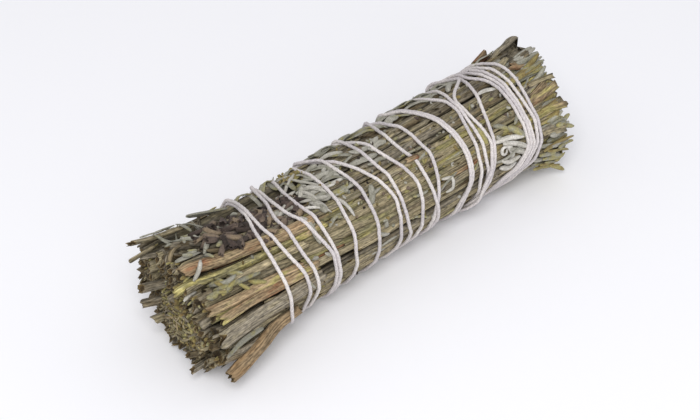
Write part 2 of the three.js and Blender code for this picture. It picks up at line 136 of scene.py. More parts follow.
def way(places, step):
    """A smooth way through [x, angle] places, with a point every `step` millimetres."""
    scale = np.array([1.0, math.radians(GIRTH_RADIUS)])  # makes an angle a width, in mm round the girth
    knots = np.array(places, float) * scale
    at = distance_along(knots)
    spots = np.linspace(0, at[-1], max(4, int(at[-1] / step) + 1))
    slopes = np.gradient(knots, at, axis=0)
    low = np.clip(np.searchsorted(at, spots, side="right") - 1, 0, len(at) - 2)
    span = (at[low + 1] - at[low])[:, None]
    t = (spots - at[low])[:, None] / span
    curve = (2 * t**3 - 3 * t**2 + 1) * knots[low] + (3 * t**2 - 2 * t**3) * knots[low + 1]
    curve += span * ((t**3 - 2 * t**2 + t) * slopes[low] + (t**3 - t**2) * slopes[low + 1])
    return (curve / scale).T


print("a way through three places:", way([[0, 0], [5, 20], [10, 20]], 2.5)[0].round(1))

# %% Directions along a line, and turns round a section
UPRIGHT = np.array([0.0, 0.3, 1.0])  # up for the inner pieces, which don't face any side


def directions(line, up=None):
    """Forward, side and up at each point. Up is away from the stick's axis unless it is given."""
    forward = unit(np.gradient(line, axis=0))
    if up is None:
        up = line - [0.0, AXIS_Y, AXIS_Z]
        up[:, 0] = 0.0
    up = unit(up - (up * forward).sum(-1, keepdims=True) * forward)
    return forward, np.cross(up, forward), up


def once_round(sides):
    """The angles of a section's points."""
    return np.linspace(0, 2 * np.pi, sides, endpoint=False)


def rolled(across, high, lean):
    """A section's points, turned about its own line by a lean in radians."""
    return across * np.cos(lean) - high * np.sin(lean), across * np.sin(lean) + high * np.cos(lean)


print("turned by a quarter:", np.round(rolled(1.0, 0.0, math.pi / 2), 2))

# %% [markdown]
# ## One closed body
# A section carried along a line leaves rings of points. Joining neighbouring rings gives the skin and a
# fan at each end closes it. Each point also keeps four marks for its material: `grain`, its place along
# and across the piece in millimetres, so that fibres follow every bend; `tone`, which colour of its
# kind the piece has; `shade`, how light it is, which holds random differences and also painted shade in
# gaps, in the hollow and on undersides; and `cut`, which grows from the skin to the pith.

# %% Close the rings
MARKS = ("grain", "tone", "shade", "cut")


def close_rings(rings, *marks):
    """The points, faces and marks of a closed body."""
    count, sides = rings.shape[:2]
    i, j = (n.ravel() for n in np.mgrid[0 : count - 1, 0:sides])
    a, b = i * sides + j, i * sides + (j + 1) % sides
    c, d = b + sides, a + sides
    ring, first = np.arange(sides), count * sides  # the two centres come after the rings' points
    start_fan = [np.full(sides, first), (ring + 1) % sides, ring]
    last = first - sides + ring
    end_fan = [np.full(sides, first + 1), last, first - sides + (ring + 1) % sides]
    triangles = ([a, b, c], [a, c, d], start_fan, end_fan)
    body = {"faces": np.concatenate([np.stack(corners, 1) for corners in triangles])}
    for key, values in zip(("points",) + MARKS, (rings,) + marks):
        values = np.broadcast_to(values, (count, sides) + values.shape[2:])
        centres = [values[0].mean(0, keepdims=True), values[-1].mean(0, keepdims=True)]
        body[key] = np.concatenate([values.reshape((-1,) + values.shape[2:]), *centres])
    return body


def joined(parts):
    """Several bodies as one set of points, faces and marks."""
    starts = np.cumsum([0] + [len(p["points"]) for p in parts[:-1]])
    whole = {key: np.concatenate([p[key] for p in parts]) for key in parts[0] if key != "faces"}
    whole["faces"] = np.concatenate([p["faces"] + start for p, start in zip(parts, starts)])
    return whole


print("marks kept at each point:", MARKS)

# %% Sweep a section into a closed body
LIDS = ((0.84, 0.06, 0.5), (0.45, 0.22, 1.0))  # an end's inner rings: size, depth in mm and cut mark
grain_starts = np.random.default_rng(3)  # each piece's grain starts elsewhere, so no two look alike


def sweep(line, across, high, tone, shade=1.0, up=None, push=None, lids=LIDS):
    """Carries a section along a line. across and high are the section's points, ring by ring."""
    forward, side, up = directions(line, up)
    across, high = np.broadcast_arrays(across, high)
    rings = line[:, None] + side[:, None] * across[..., None] + up[:, None] * high[..., None]
    along = distance_along(line)[:, None] + np.zeros_like(across)
    if push is not None:
        rings = rings + forward[:, None] * push[..., None]
        along = along + push
    grain = np.stack([along + grain_starts.uniform(0, 900), across, high], -1)
    ringwise = [m if np.ndim(m) == 2 else np.reshape(m, (-1, 1)) for m in (tone, shade)]
    tone, shade = (np.broadcast_to(m, across.shape) for m in ringwise)
    old = [rings, grain, tone, shade, np.zeros_like(across)]
    last_size = 1.0
    for size, depth, mark in lids:
        share = size / last_size
        for end, inward in ((0, forward[0]), (-1, -forward[-1])):
            rim, grain, tone, shade, _ = (values[end] for values in old)
            middle = rim.mean(0)
            ring = middle + (rim - middle) * share + inward * depth
            new = [ring, grain * [1.0, share, share], tone, shade, np.full(len(rim), mark)]
            pairs = [(n[None], o) if end == 0 else (o, n[None]) for n, o in zip(new, old)]
            old = [np.concatenate(pair) for pair in pairs]
        last_size = size
    return close_rings(*old)


print("an end closes with", len(LIDS), "rings, down to", LIDS[-1][0], "of its width")

# %% [markdown]
# ## From numbers to a Blender piece
# A mesh is filled from whole arrays at once, which is far quicker than adding faces one by one. Each
# piece rides on the frame's one body, gets its material, and hides the plain CAD nodes that it stands
# for.

# %% Make a piece
FLOOR_GAP = 0.02  # mm, so that nothing sinks into the floor
made = {}


def make_piece(name, parts, material, nodes=()):
    """Makes one Blender object of several bodies. nodes are the CAD nodes that it stands for."""
    whole = joined(parts)
    points, faces = kept_above(whole["points"], FLOOR_GAP), whole["faces"]
    mesh = bpy.data.meshes.new(name)
    mesh.vertices.add(len(points))
    mesh.vertices.foreach_set("co", (points * MM).astype(np.float32).ravel())
    mesh.loops.add(faces.size)
    mesh.loops.foreach_set("vertex_index", faces.astype(np.int32).ravel())
    mesh.polygons.add(len(faces))
    mesh.polygons.foreach_set("loop_start", np.arange(0, faces.size, 3, dtype=np.int32))
    mesh.update(calc_edges=True)
    mesh.shade_smooth()
    for key in MARKS:
        kind, field = ("FLOAT_VECTOR", "vector") if key == "grain" else ("FLOAT", "value")
        mark = mesh.attributes.new(key, kind, "POINT")
        mark.data.foreach_set(field, whole[key].astype(np.float32).ravel())
    mesh.materials.append(material)
    piece = bpy.data.objects.new(name, mesh)
    bpy.context.scene.collection.objects.link(piece)
    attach(piece, "root")
    if nodes:
        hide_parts(*nodes)
    made[name] = len(faces)
    return piece


print("ready to make pieces, at least", FLOOR_GAP, "mm over the floor")

# %% [markdown]
# ## Colours and nodes
# Colours are written as sRGB hex values, the way a paint chart gives them, and turned to the linear
# values that Blender's shaders add and multiply. One small function adds any node with its settings and
# links, so each material below reads as a list of what happens to the colour.

# %% Colour and node helpers
def linear(hex_colour):
    """An sRGB hex colour as linear red, green, blue and alpha."""
    channels = [int(hex_colour[i : i + 2], 16) / 255 for i in (1, 3, 5)]
    return [c / 12.92 if c <= 0.04045 else ((c + 0.055) / 1.055) ** 2.4 for c in channels] + [1.0]


def add(tree, kind, inputs=None, stops=(), **settings):
    """Adds a node. inputs gives each socket a value, or the output or node that it is linked from."""
    node = tree.nodes.new(kind)
    for name, value in settings.items():
        setattr(node, name, value)
    for place, (at, colour) in enumerate(stops):
        ramp = node.color_ramp.elements
        stop = ramp[place] if place < len(ramp) else ramp.new(at)
        stop.position, stop.color = at, linear(colour)
    for socket, value in (inputs or {}).items():
        value = value.outputs[0] if isinstance(value, bpy.types.Node) else value
        if isinstance(value, bpy.types.NodeSocket):
            tree.links.new(value, node.inputs[socket])
        else:
            node.inputs[socket].default_value = value
    return node


def new_material(name):
    material = bpy.data.materials.new(name)
    material.use_nodes = True
    material.node_tree.nodes.clear()
    return material, material.node_tree


print("a mid grey in linear values:", [round(c, 3) for c in linear("#808080")])

# %% [markdown]
# ## Dried lavender stem
# A lavender stem dries to a ribbed, fibrous wood. Its skin runs from grey-tan through olive to orange
# brown, often within one stem, because the green fades unevenly. Fibres run along it and catch dust in
# between. A ramp holds the colours of the whole bunch, each stem's tone picks its place on the ramp,
# and noise that is stretched along the grain shifts it and draws the fibres. A printed pattern wrapped
# round the stem could do the same, but noise follows every bend and never repeats. The bark is the
# same plant, older and darker, so it comes from the same function with its own colours.

# %% The wood's colours and the size of its pattern
STEM_COLOURS = (
    (0.00, "#57482f"),
    (0.12, "#7f7259"),
    (0.26, "#968d7c"),
    (0.40, "#a39777"),
    (0.52, "#b0a283"),
    (0.64, "#9b946f"),
    (0.76, "#afa467"),
    (0.84, "#a89474"),
    (0.93, "#9c8364"),
    (1.00, "#855b40"),
)
BARK_COLOURS = (
    (0.00, "#4e4335"),
    (0.35, "#857862"),
    (0.60, "#a0896a"),
    (0.80, "#ae8a60"),
    (1.00, "#b8a065"),
)
PITH_COLOURS = ((0.3, "#82714c"), (0.62, "#6c5a39"), (1.0, "#514128"))  # a cut end, rim to middle
# Three noises follow the grain. Each has its features' length and width in mm, and its detail.
PATCHES = (7.0, 1.6, 3.0)  # over which a stem's colour drifts
FIBRES = (7.0, 0.3, 3.0)  # real ones are about 0.1 mm apart, and are drawn coarser so that they show
FLECKS = (1.2, 0.45, 4.0)  # of dirt and lost skin
print("stem colours:", len(STEM_COLOURS), "bark colours:", len(BARK_COLOURS))

# %% Fibrous wood materials
# A map range node's sockets are 0 for the value, 1 and 2 for the range it comes from, and 3 and 4 for
# the range it becomes. Noise mostly lies between 0.3 and 0.7. A mix of colours takes its share at
# socket 0 and the colours at 6 and 7, and gives the mixed one at output 2.
def fibrous(name, colours, drift, contrast, roughness):
    """drift is how far patches move along the colours, contrast how much the fibres stand out."""
    material, tree = new_material(name)
    marks = [add(tree, "ShaderNodeAttribute", attribute_name=mark) for mark in MARKS]
    grain = marks[0].outputs["Vector"]
    tone, shade, cut = (mark.outputs["Fac"] for mark in marks[1:])
    noises = []
    for length, width, detail in (PATCHES, FIBRES, FLECKS):
        scale = (1 / length, 1 / width, 1 / width)
        spot = add(tree, "ShaderNodeVectorMath", {0: grain, 1: scale}, operation="MULTIPLY")
        noises.append(add(tree, "ShaderNodeTexNoise", {"Vector": spot, "Scale": 1.0, "Detail": detail}))
    patches, fibres, flecks = noises

    shift = add(tree, "ShaderNodeMapRange", {0: patches, 1: 0.25, 2: 0.75, 3: -drift, 4: drift})
    place = add(tree, "ShaderNodeMath", {0: tone, 1: shift}, operation="ADD", use_clamp=True)
    colour = add(tree, "ShaderNodeValToRGB", {0: place}, stops=colours)

    dark, bright = 1 - contrast, 1 + 0.6 * contrast
    light = add(tree, "ShaderNodeMapRange", {0: fibres, 1: 0.3, 2: 0.7, 3: dark, 4: bright})
    dirt = add(tree, "ShaderNodeMapRange", {0: flecks, 1: 0.36, 2: 0.68, 3: 1.18, 4: 0.5})
    lit = add(tree, "ShaderNodeMath", {0: light, 1: dirt}, operation="MULTIPLY")
    # The shade mark darkens the colour: random differences, and painted shade in gaps, hollows and
    # undersides.
    lit = add(tree, "ShaderNodeMath", {0: lit, 1: shade}, operation="MULTIPLY")
    skin = add(tree, "ShaderNodeVectorMath", {0: colour, "Scale": lit}, operation="SCALE")

    pith = add(tree, "ShaderNodeValToRGB", {0: cut}, stops=PITH_COLOURS)
    pith = add(tree, "ShaderNodeVectorMath", {0: pith, "Scale": lit}, operation="SCALE")
    bare = add(tree, "ShaderNodeMapRange", {0: cut, 1: 0.1, 2: 0.4, 3: 0.0, 4: 1.0})
    mixed = add(tree, "ShaderNodeMix", {0: bare, 6: skin, 7: pith}, data_type="RGBA").outputs[2]

    relief = add(tree, "ShaderNodeMath", {0: fibres, 1: flecks}, operation="SUBTRACT")
    bump = add(tree, "ShaderNodeBump", {"Height": relief, "Distance": 0.35 * MM, "Strength": 0.8})
    shader = add(tree, "ShaderNodeBsdfPrincipled", {
        "Base Color": mixed,
        "Roughness": roughness,
        "IOR": 1.45,
        "Specular IOR Level": 0.3,
        "Normal": bump,
    })
    add(tree, "ShaderNodeOutputMaterial", {0: shader})
    return material


# Dried lavender stem: half matt, with streaks of light and dust along the fibres.
dried_stem = fibrous("dried_lavender_stem", STEM_COLOURS, drift=0.14, contrast=0.65, roughness=0.72)
# Weathered lavender bark: duller and more even, because its outer fibres have worn off.
old_bark = fibrous("weathered_lavender_bark", BARK_COLOURS, drift=0.16, contrast=0.5, roughness=0.85)
print("wood materials:", dried_stem.name, "and", old_bark.name)

# %% [markdown]
# ## Felted leaf, dried flower and cotton
# Lavender leaves are covered in short pale hairs, which make them look grey-green and dusty, with a
# paler midrib. The hairs are finer than can be seen, so a soft sheen and a fine mottle stand in for
# them. Dried flower cups are thin, ribbed and purple-brown. The thread is bleached cotton: white, quite
# rough, and slightly lilac where the twist turns away from the light. All three are a mottled colour
# with a soft sheen, so one function makes them.

# %% Leaf, flower and thread materials
LEAF_COLOURS = (
    (0.00, "#6f5e3b"),
    (0.16, "#88794c"),
    (0.32, "#98905d"),
    (0.48, "#8b897a"),
    (0.68, "#9f9c90"),
    (0.86, "#b4b0a6"),
    (1.00, "#cdc9c2"),
)
FLOWER_COLOURS = ((0.0, "#2f2823"), (0.4, "#554943"), (0.7, "#7a6b5e"), (1.0, "#99876c"))
COTTON_COLOURS = ((0.0, "#bbb4b6"), (0.35, "#d1cacb"), (0.7, "#e2dbd8"), (1.0, "#ece6df"))
BLOTCH = 0.45  # features in each mm, about one every 2 mm, of the noise that shifts the colour
HALF_MIDRIB = (0.08, 0.26)  # mm to each side over which a leaf's pale midrib fades


def dusty(name, colours, speck, roughness, sheen, midrib):
    """speck is the mottle's size in mm, midrib how much lighter the middle of a leaf is."""
    material, tree = new_material(name)
    marks = [add(tree, "ShaderNodeAttribute", attribute_name=mark) for mark in MARKS]
    grain = marks[0].outputs["Vector"]
    tone, shade, cut = (mark.outputs["Fac"] for mark in marks[1:])
    blotch = add(tree, "ShaderNodeTexNoise", {"Vector": grain, "Scale": BLOTCH, "Detail": 3.0})
    mottle = add(tree, "ShaderNodeTexNoise", {"Vector": grain, "Scale": 1 / speck, "Detail": 4.0})

    shift = add(tree, "ShaderNodeMapRange", {0: blotch, 1: 0.3, 2: 0.7, 3: -0.14, 4: 0.14})
    place = add(tree, "ShaderNodeMath", {0: tone, 1: shift}, operation="ADD", use_clamp=True)
    colour = add(tree, "ShaderNodeValToRGB", {0: place}, stops=colours)

    lit = add(tree, "ShaderNodeMapRange", {0: mottle, 1: 0.3, 2: 0.7, 3: 0.72, 4: 1.2})
    across = add(tree, "ShaderNodeSeparateXYZ", {0: grain}).outputs["Y"]
    beside = add(tree, "ShaderNodeMath", {0: across}, operation="ABSOLUTE")
    near, far = HALF_MIDRIB
    rib = add(tree, "ShaderNodeMapRange", {0: beside, 1: near, 2: far, 3: 1 + midrib, 4: 1.0})
    # Painted shade: hollow darkens the flower cups' sunk lids towards their middle, for the shade
    # inside.
    hollow = add(tree, "ShaderNodeMapRange", {0: cut, 1: 0.2, 2: 1.0, 3: 1.0, 4: 0.4})
    # The shade mark brings random differences and painted shade in gaps, hollows and on undersides.
    for factor in (rib, hollow, shade):
        lit = add(tree, "ShaderNodeMath", {0: lit, 1: factor}, operation="MULTIPLY")
    skin = add(tree, "ShaderNodeVectorMath", {0: colour, "Scale": lit}, operation="SCALE")

    bump = add(tree, "ShaderNodeBump", {"Height": mottle, "Distance": 0.25 * MM, "Strength": 0.6})
    shader = add(tree, "ShaderNodeBsdfPrincipled", {
        "Base Color": skin,
        "Roughness": roughness,
        "IOR": 1.4,
        "Specular IOR Level": 0.2,
        "Sheen Weight": sheen,
        "Sheen Roughness": 0.6,
        "Normal": bump,
    })
    add(tree, "ShaderNodeOutputMaterial", {0: shader})
    return material


# Felted leaf: dull and silvery, lighter along its midrib and at glancing angles.
felted_leaf = dusty(
    "felted_lavender_leaf", LEAF_COLOURS, speck=0.35, roughness=0.85, sheen=0.12, midrib=0.22)
# Dried flower: papery and dark, with a coarse mottle.
dried_flower = dusty(
    "dried_lavender_flower", FLOWER_COLOURS, speck=0.5, roughness=0.8, sheen=0.05, midrib=0.0)
# Bleached cotton: nearly white and quite matt, with a fine fuzz.
bleached_cotton = dusty(
    "bleached_cotton_thread", COTTON_COLOURS, speck=0.3, roughness=0.9, sheen=0.15, midrib=0.0)
print("soft materials:", felted_leaf.name, dried_flower.name, bleached_cotton.name)

# %% [markdown]
# ## Wood that grew
# A lavender stem is square with blunt corners, and as it dries it wrinkles into ribs, swells at the
# places where leaves sat, and splits here and there. Its cut ends are never clean. A cylinder with a
# rough texture would stay a cylinder in its outline, so a rod is a sweep whose radius says all of that:
# waves round the section that drift along the stem, bulges every few centimetres, long narrow cracks,
# and ends pushed in and out. A split piece is the same idea with a flat section that hugs the round
# stems under it.

# %% Rods
RIBS = ((3, 0.035), (5, 0.03), (8, 0.026), (11, 0.018))  # waves round the section, share of its radius
CORNERS = 0.06  # how far the four blunt corners stand out, as a share of the radius
SWELLING, CRACK_DEPTH = 0.16, 0.3  # shares of the radius
LEAF_GAP = (16, 30)  # mm from one swelling to the next
AROUND = 6.3  # a random start anywhere round a section, in radians


def rod(line, radius, dice, sides, tone, shade=1.0, wrinkle=1.0, ragged=0.5, cracks=2, up=None):
    """A whole stem or twig. wrinkle scales its ribs, ragged is how torn its ends are, in mm."""
    along = distance_along(line)
    turn = once_round(sides)
    shape = 1 + CORNERS * np.cos(4 * (turn - dice.uniform(0, AROUND)))[None] + np.zeros((len(line), 1))
    for count, height in RIBS:
        phase = dice.uniform(0, AROUND) + 1.2 * wander(along, 20, dice)[:, None]
        shape = shape + wrinkle * height * np.cos(count * turn + phase)
    shape = shape + 0.06 * wander(along, 7, dice)[:, None]
    joint = dice.uniform(4, 22)
    while joint < along[-1]:
        near_joint = np.exp(-(((along - joint) / 0.8) ** 2))[:, None]
        shape = shape + SWELLING * near_joint * np.abs(np.cos(turn - dice.uniform(0, AROUND)))
        joint += dice.uniform(*LEAF_GAP)
    for _ in range(cracks):
        beside = turn - dice.uniform(0, AROUND) - 0.1 * wander(along, 12, dice)[:, None]
        beside = np.angle(np.exp(1j * beside))
        start, length = dice.uniform(0, along[-1]), dice.uniform(8, 30)
        open_along = np.clip(1 - np.abs(along - start) / length, 0, 1)[:, None]
        shape = shape - CRACK_DEPTH * np.exp(-((beside / 0.2) ** 2)) * np.sqrt(open_along)
    reach = np.broadcast_to(radius, along.shape)[:, None] * shape
    push = np.zeros_like(reach)
    for end, sense in ((0, -1.0), (-1, 1.0)):
        torn = ragged * (np.cos(turn - dice.uniform(0, AROUND)) + dice.uniform(-0.6, 0.6, sides))
        push += sense * torn * np.exp(-np.abs(along - along[end]) / 1.3)[:, None]
    tones = tone + 0.05 * wander(along, 14, dice)
    # The side that faces the axis is darker, because its neighbours keep the light off.
    flanks = np.interp(np.sin(turn), [0.05, 0.7], [0.42, 1.0]) if up is None else 1.0
    shades = np.reshape(shade, (-1, 1)) * flanks + np.zeros_like(reach)
    return sweep(line, reach * np.cos(turn), reach * np.sin(turn), tones, shades, up, push)


print("ribs round a stem:", [count for count, _ in RIBS])

# %% Split strips
RIDGE_TURN = 7  # radians of the ridges' wave from a strip's middle to its edge


def strip(line, half_width, half_thick, dice, tone, shade=1.0, sides=16, cup=0.22, torn=1.6, roll=0.0):
    """A flat piece of split wood. cup bends its sides down, torn splinters its ends, in mm."""
    along = distance_along(line)
    share = along / along[-1]
    turn = once_round(sides)
    flat = np.sign(np.cos(turn)) * np.abs(np.cos(turn)) ** 0.75
    thick = np.sign(np.sin(turn)) * np.abs(np.sin(turn)) ** 0.85
    width = (np.broadcast_to(half_width, along.shape) * (1 + 0.14 * wander(along, 6, dice)))[:, None]
    across = width * flat * (1 + 0.05 * dice.uniform(-1, 1, sides))
    ridge = np.cos(RIDGE_TURN * flat + dice.uniform(0, AROUND) + 0.9 * wander(along, 14, dice)[:, None])
    high = half_thick * (thick + 0.35 * ridge) - cup * width * flat**2
    tip, foot = (np.interp(flat, np.linspace(-1, 1, 7), dice.uniform(-1, 1, 7)) for _ in range(2))
    push = torn * (tip * np.exp(-(along[-1] - along) / 2)[:, None] - foot * np.exp(-along / 2)[:, None])
    across, high = rolled(across, high, (roll * (1 - share))[:, None])
    tones = tone + 0.06 * wander(along, 9, dice)
    # Painted shade: the strip's underside and lower edges are darkened for the shadow under them.
    flanks = np.interp(np.sin(turn), [-0.3, 0.3], [0.6, 1.0])
    shades = np.reshape(shade, (-1, 1)) * flanks + np.zeros_like(high)
    return sweep(line, across, high, tones, shades, push=push)


print("ridges across a strip:", round(RIDGE_TURN / math.pi, 1))

# %% [markdown]
# ## The stems
# The frame holds 44 stems, bundled so that none crosses another. Their places are read back from the
# CAD nodes ring by ring, so every finished stem lies where its solid does. The outer ones get the most
# detail. The inner ones show only at the cut ends and through the gaps, so they get fewer points, and
# their colour is darkened with painted shade for the shadow in those gaps.

# %% Read the stems' places from the frame
def read_stem(name):
    """A CAD stem's line and its radius, in millimetres."""
    points = np.array([v.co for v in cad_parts[name].data.vertices]) / MM
    points = np.unique(points.round(2), axis=0)
    knots, radii = [], []
    for x in np.unique(points[:, 0].round(1)):
        ring = points[np.abs(points[:, 0] - x) < 0.08]
        knots.append(ring.mean(0))
        radii.append(np.linalg.norm(ring[:, 1:] - ring[:, 1:].mean(0), axis=1).mean())
    return np.array(knots), float(np.mean(radii))


stem_nodes = sorted(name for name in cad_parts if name.startswith("stem_"))
stems = {name: read_stem(name) for name in stem_nodes}
print("stems:", len(stems), "first radius", round(stems["stem_01"][1], 2), "mm")

# %% [markdown]
# ### Cut ends and faded colours
# The binder cut both ends with shears, not quite square, so two small functions say where. The colour
# of the bunch also changes round it and along it, because it dried with one side to the light. Picking
# every stem's tone at random would lose that, so a table gives the usual tone at each angle, and the
# stems stray a little from it.

# %% Where the ends are cut
FAR_CUTS = (  # angle, then x: short low at the front, with a notch behind the top for the curl of bark
    (-180, 53.5), (-70, 55.0), (-54, 55.0), (-50, 50.6), (-16, 50.6), (-11, 55.0),
    (10, 55.2), (45, 53.4), (70, 52.2), (110, 52.6), (180, 53.5),
)


def near_cut(y):
    """The x where the near end is cut. The cut leans: the back is shorter than the front."""
    return -51.0 + 0.13 * (y - AXIS_Y)


def near_cut_at(away, angle):
    """The same from a distance and an angle."""
    return near_cut(AXIS_Y - away * math.sin(math.radians(angle)))


def far_cut(angle):
    """The x where the far end is cut."""
    return np.interp(angle, *zip(*FAR_CUTS))


print("from cut to cut on top:", round(float(far_cut(0.0)) - near_cut_at(10.0, 0.0), 1), "mm")

# %% The usual tone of the wood
USUAL_TONES = (  # angle, then tone towards the near and the far end
    (-180, 0.30, 0.30), (-120, 0.45, 0.45), (-60, 0.28, 0.27), (-40, 0.24, 0.25), (-10, 0.16, 0.24),
    (14, 0.30, 0.24), (22, 0.90, 0.38), (32, 0.86, 0.56), (40, 0.66, 0.62), (48, 0.50, 0.60),
    (56, 0.82, 0.50), (64, 0.84, 0.68), (71, 0.60, 0.66), (75, 0.22, 0.30), (92, 0.24, 0.24),
    (100, 0.30, 0.34), (125, 0.30, 0.40), (180, 0.30, 0.30),
)


def tone_at(x, angle):
    """The usual tone of wood at a place on the bunch."""
    angle = (angle + 180) % 360 - 180
    angles, *towards_ends = zip(*USUAL_TONES)
    near, far = (np.interp(angle, angles, tones) for tones in towards_ends)
    return near + (far - near) * np.interp(x, [-30, -16], [0, 1])


print("tone on top, near and far:", float(tone_at(-50, 0).round(2)), float(tone_at(50, 0).round(2)))

# %% Make the stems
OUTER_FROM = 8.6  # mm from the axis: a stem further out than this shows at the bunch's side
SWELL = 1.06  # dried stems press on each other, so they fill the gaps that the CAD solids keep
PRESSED_LEVEL = 0.85  # mm: the lowest stems are pressed flat on the thread that passes under them
DRAWN_IN = 0.5  # mm that the outer stems lie deeper, to leave room for split pieces over them
NEAR_ROOM = 1.0  # mm more at the near end, where broad pieces lie on top
HOLLOW = 0.9  # mm more in the hollow on top, beside the first turns of thread
surfaces = []
stem_lines = {}


def remember(*parts):
    """Adds bodies to the surface that later pieces are laid on."""
    points, faces = (joined(parts)[key].tolist() for key in ("points", "faces"))
    surfaces.append(BVHTree.FromPolygons(points, faces, all_triangles=True))


outer_parts = []
for number, (name, (knots, radius)) in enumerate(stems.items()):
    dice = np.random.default_rng(100 + number)
    _, away, angle = unrolled(at_xs(knots, 0.0))
    outer = away > OUTER_FROM
    start = max(knots[0, 0], near_cut(knots[0, 1])) + dice.uniform(0, 1.2)
    end = min(knots[-1, 0], far_cut(angle)) - dice.uniform(0, 1.5)
    xs = np.arange(start, end, 0.75 if outer else 2.0)
    x, away, angle = unrolled(smoothed(at_xs(knots, xs), 40 if outer else 6))
    # Painted shade: inner stems are darkened for the shadow in the gaps they show through.
    shade = 0.6
    if outer:
        dip = np.interp(angle, [-50, -36, 8, 18], [0, 1, 1, 0])
        dip = dip * np.interp(x, [-49, -43, -19, -13], [0, 1, 1, 0])
        away = away - DRAWN_IN - NEAR_ROOM * np.interp(x, [-38, -24], [1, 0]) - HOLLOW * dip
        # Painted shade: stems in the hollow on top are darkened for the shadow that falls in it.
        shade = 1 - 0.35 * dip
    line = around(x, away + 0.2 * wander(xs, 16, dice), angle + as_angle(0.3) * wander(xs, 16, dice))
    tone = tone_at(0.0, angle) + dice.uniform(-0.13, 0.13)
    sides, up = (26, None) if outer else (14, UPRIGHT)
    part = rod(line, radius * SWELL, dice, sides, tone, shade, up=up)
    part["points"] = kept_above(part["points"], PRESSED_LEVEL)
    make_piece(name, [part], dried_stem, [name])
    stem_lines[name] = line
    if outer:
        outer_parts.append(part)
remember(*outer_parts)
print("outer stems:", len(outer_parts))

# %% [markdown]
# ## Where is the surface?
# Everything from here on lies on what is already there, as it does when the bunch is rolled. A ray
# from outside towards the axis finds how far out the surface is at any place. A stiff piece doesn't
# follow every dip: it rests on the bumps, so the heights under it are pulled up to straight lines
# between them, for as many rounds as the piece is stiff. A physics simulation could drop every piece
# in place, but this is quicker and puts each one exactly where it is wanted.

# %% Find the surface
OUTSIDE = 30.0  # mm from the axis, clear of everything
INSIDE = 8.0  # mm from the axis: a ray that gets this deep has passed through a gap
SOUND = (-50.5, 53.5)  # the stretch of x that has stems under it


def surface(x, angle):
    """How far the surface is from the axis at each place."""
    x, angle = np.broadcast_arrays(x, angle)
    found = np.zeros(x.shape)
    starts = around(x, OUTSIDE, angle)
    inward = unit(around(x, 0.0, angle) - starts)
    for spot in np.ndindex(x.shape):
        for tree in surfaces:
            distance = tree.ray_cast(starts[spot], inward[spot], OUTSIDE)[3]
            if distance is not None:
                found[spot] = max(found[spot], OUTSIDE - distance)
    return found


def resting(x, angle, beside, stiff):
    """How far out a piece rests. beside gives the angles to each side of it that it also lies on."""
    under = surface(np.clip(x, *SOUND)[:, None], angle[:, None] + beside).max(1)
    under = np.where(under < INSIDE, np.median(under), under)
    away = under.copy()
    for _ in range(stiff):
        away[1:-1] = np.maximum(under[1:-1], (away[:-2] + away[2:]) / 2)
    return smoothed(away, 3)


print("surface on top of the waist:", float(surface(0.0, 0.0).round(2)), "mm out")

# %% Lay things on it
FLOOR_CLEAR = 0.05  # mm more than half its thickness between a piece's line and the floor


def lay(places, half_width, half_thick, stiff=14, lift=(0.0, 0.0), step=0.7, sink=0.0):
    """A line over the surface through [x, angle] places. lift raises its ends, sink lowers it all."""
    x, angle = way(places, step)
    beside = as_angle(half_width) * np.linspace(-0.8, 0.8, 5)
    away = resting(x, angle, beside, stiff) + half_thick - sink
    flat = distance_along(around(x, away, angle))
    away += lift[0] * np.exp(-flat / 5) + lift[1] * np.exp(-(flat[-1] - flat) / 5)
    return kept_above(around(x, away, angle), half_thick + FLOOR_CLEAR)


def twist(x):
    """How far the near half of the bunch was turned as it was bound, in degrees."""
    return np.interp(x, [-55.6, -45.6, -34.6, -23.6, -1.6], [-34, -27, -19, -10, 0])


def along_grain(x, angle, length, dice, stray=3.0):
    """Places that run along the stems for a length, starting at an x and angle."""
    xs = np.array([x, x + length / 2, x + length])
    angles = angle + twist(xs) - twist(x) + np.array([0, 1, 2]) * dice.uniform(-stray, stray)
    return np.stack([xs, angles], 1)


print("the grain turns by", float(twist(-1.6) - twist(-55.6)), "degrees over the near half")

# %% [markdown]
# ## Twigs and split strips
# Between the stems lie thin twigs, and over them strips of split stem, which is why the bunch looks
# streaky rather than like a row of neat rods. The twigs run in the grooves between two neighbours,
# four to a groove. The strips start all over the bunch. Their starts turn by the golden angle from one
# to the next, which spreads them evenly where plain random starts would leave bald patches.

# %% Thin twigs in the grooves
dice = np.random.default_rng(21)
twigs = []
middles = {name: unrolled(line[len(line) // 2]) for name, line in stem_lines.items()}
outer_stems = [name for name in stem_lines if middles[name][1] > OUTER_FROM]
ring = [stem_lines[name] for name in sorted(outer_stems, key=lambda name: middles[name][2])]
for one, two in zip(ring, ring[1:] + ring[:1]):
    for _ in range(4):
        start = dice.uniform(max(one[0, 0], two[0, 0]), 38)
        xs = np.arange(start, min(start + dice.uniform(14, 60), 54.5), 0.9)
        x, away, angle = unrolled((at_xs(one, xs) + at_xs(two, xs)) / 2)
        angle = angle + as_angle(0.5) * wander(xs, 12, dice)
        line = around(x, away + 0.95 + 0.35 * wander(xs, 10, dice), angle)
        radius = dice.uniform(0.35, 0.7)
        line = kept_above(line, PRESSED_LEVEL + radius)
        tone = tone_at(xs.mean(), angle.mean()) + dice.uniform(-0.18, 0.18)
        twigs.append(rod(line, radius, dice, 10, tone, dice.uniform(0.65, 1.0), ragged=0.3, cracks=0))
make_piece("thin_twigs", twigs, dried_stem)
remember(*twigs)
print("twigs:", len(twigs))

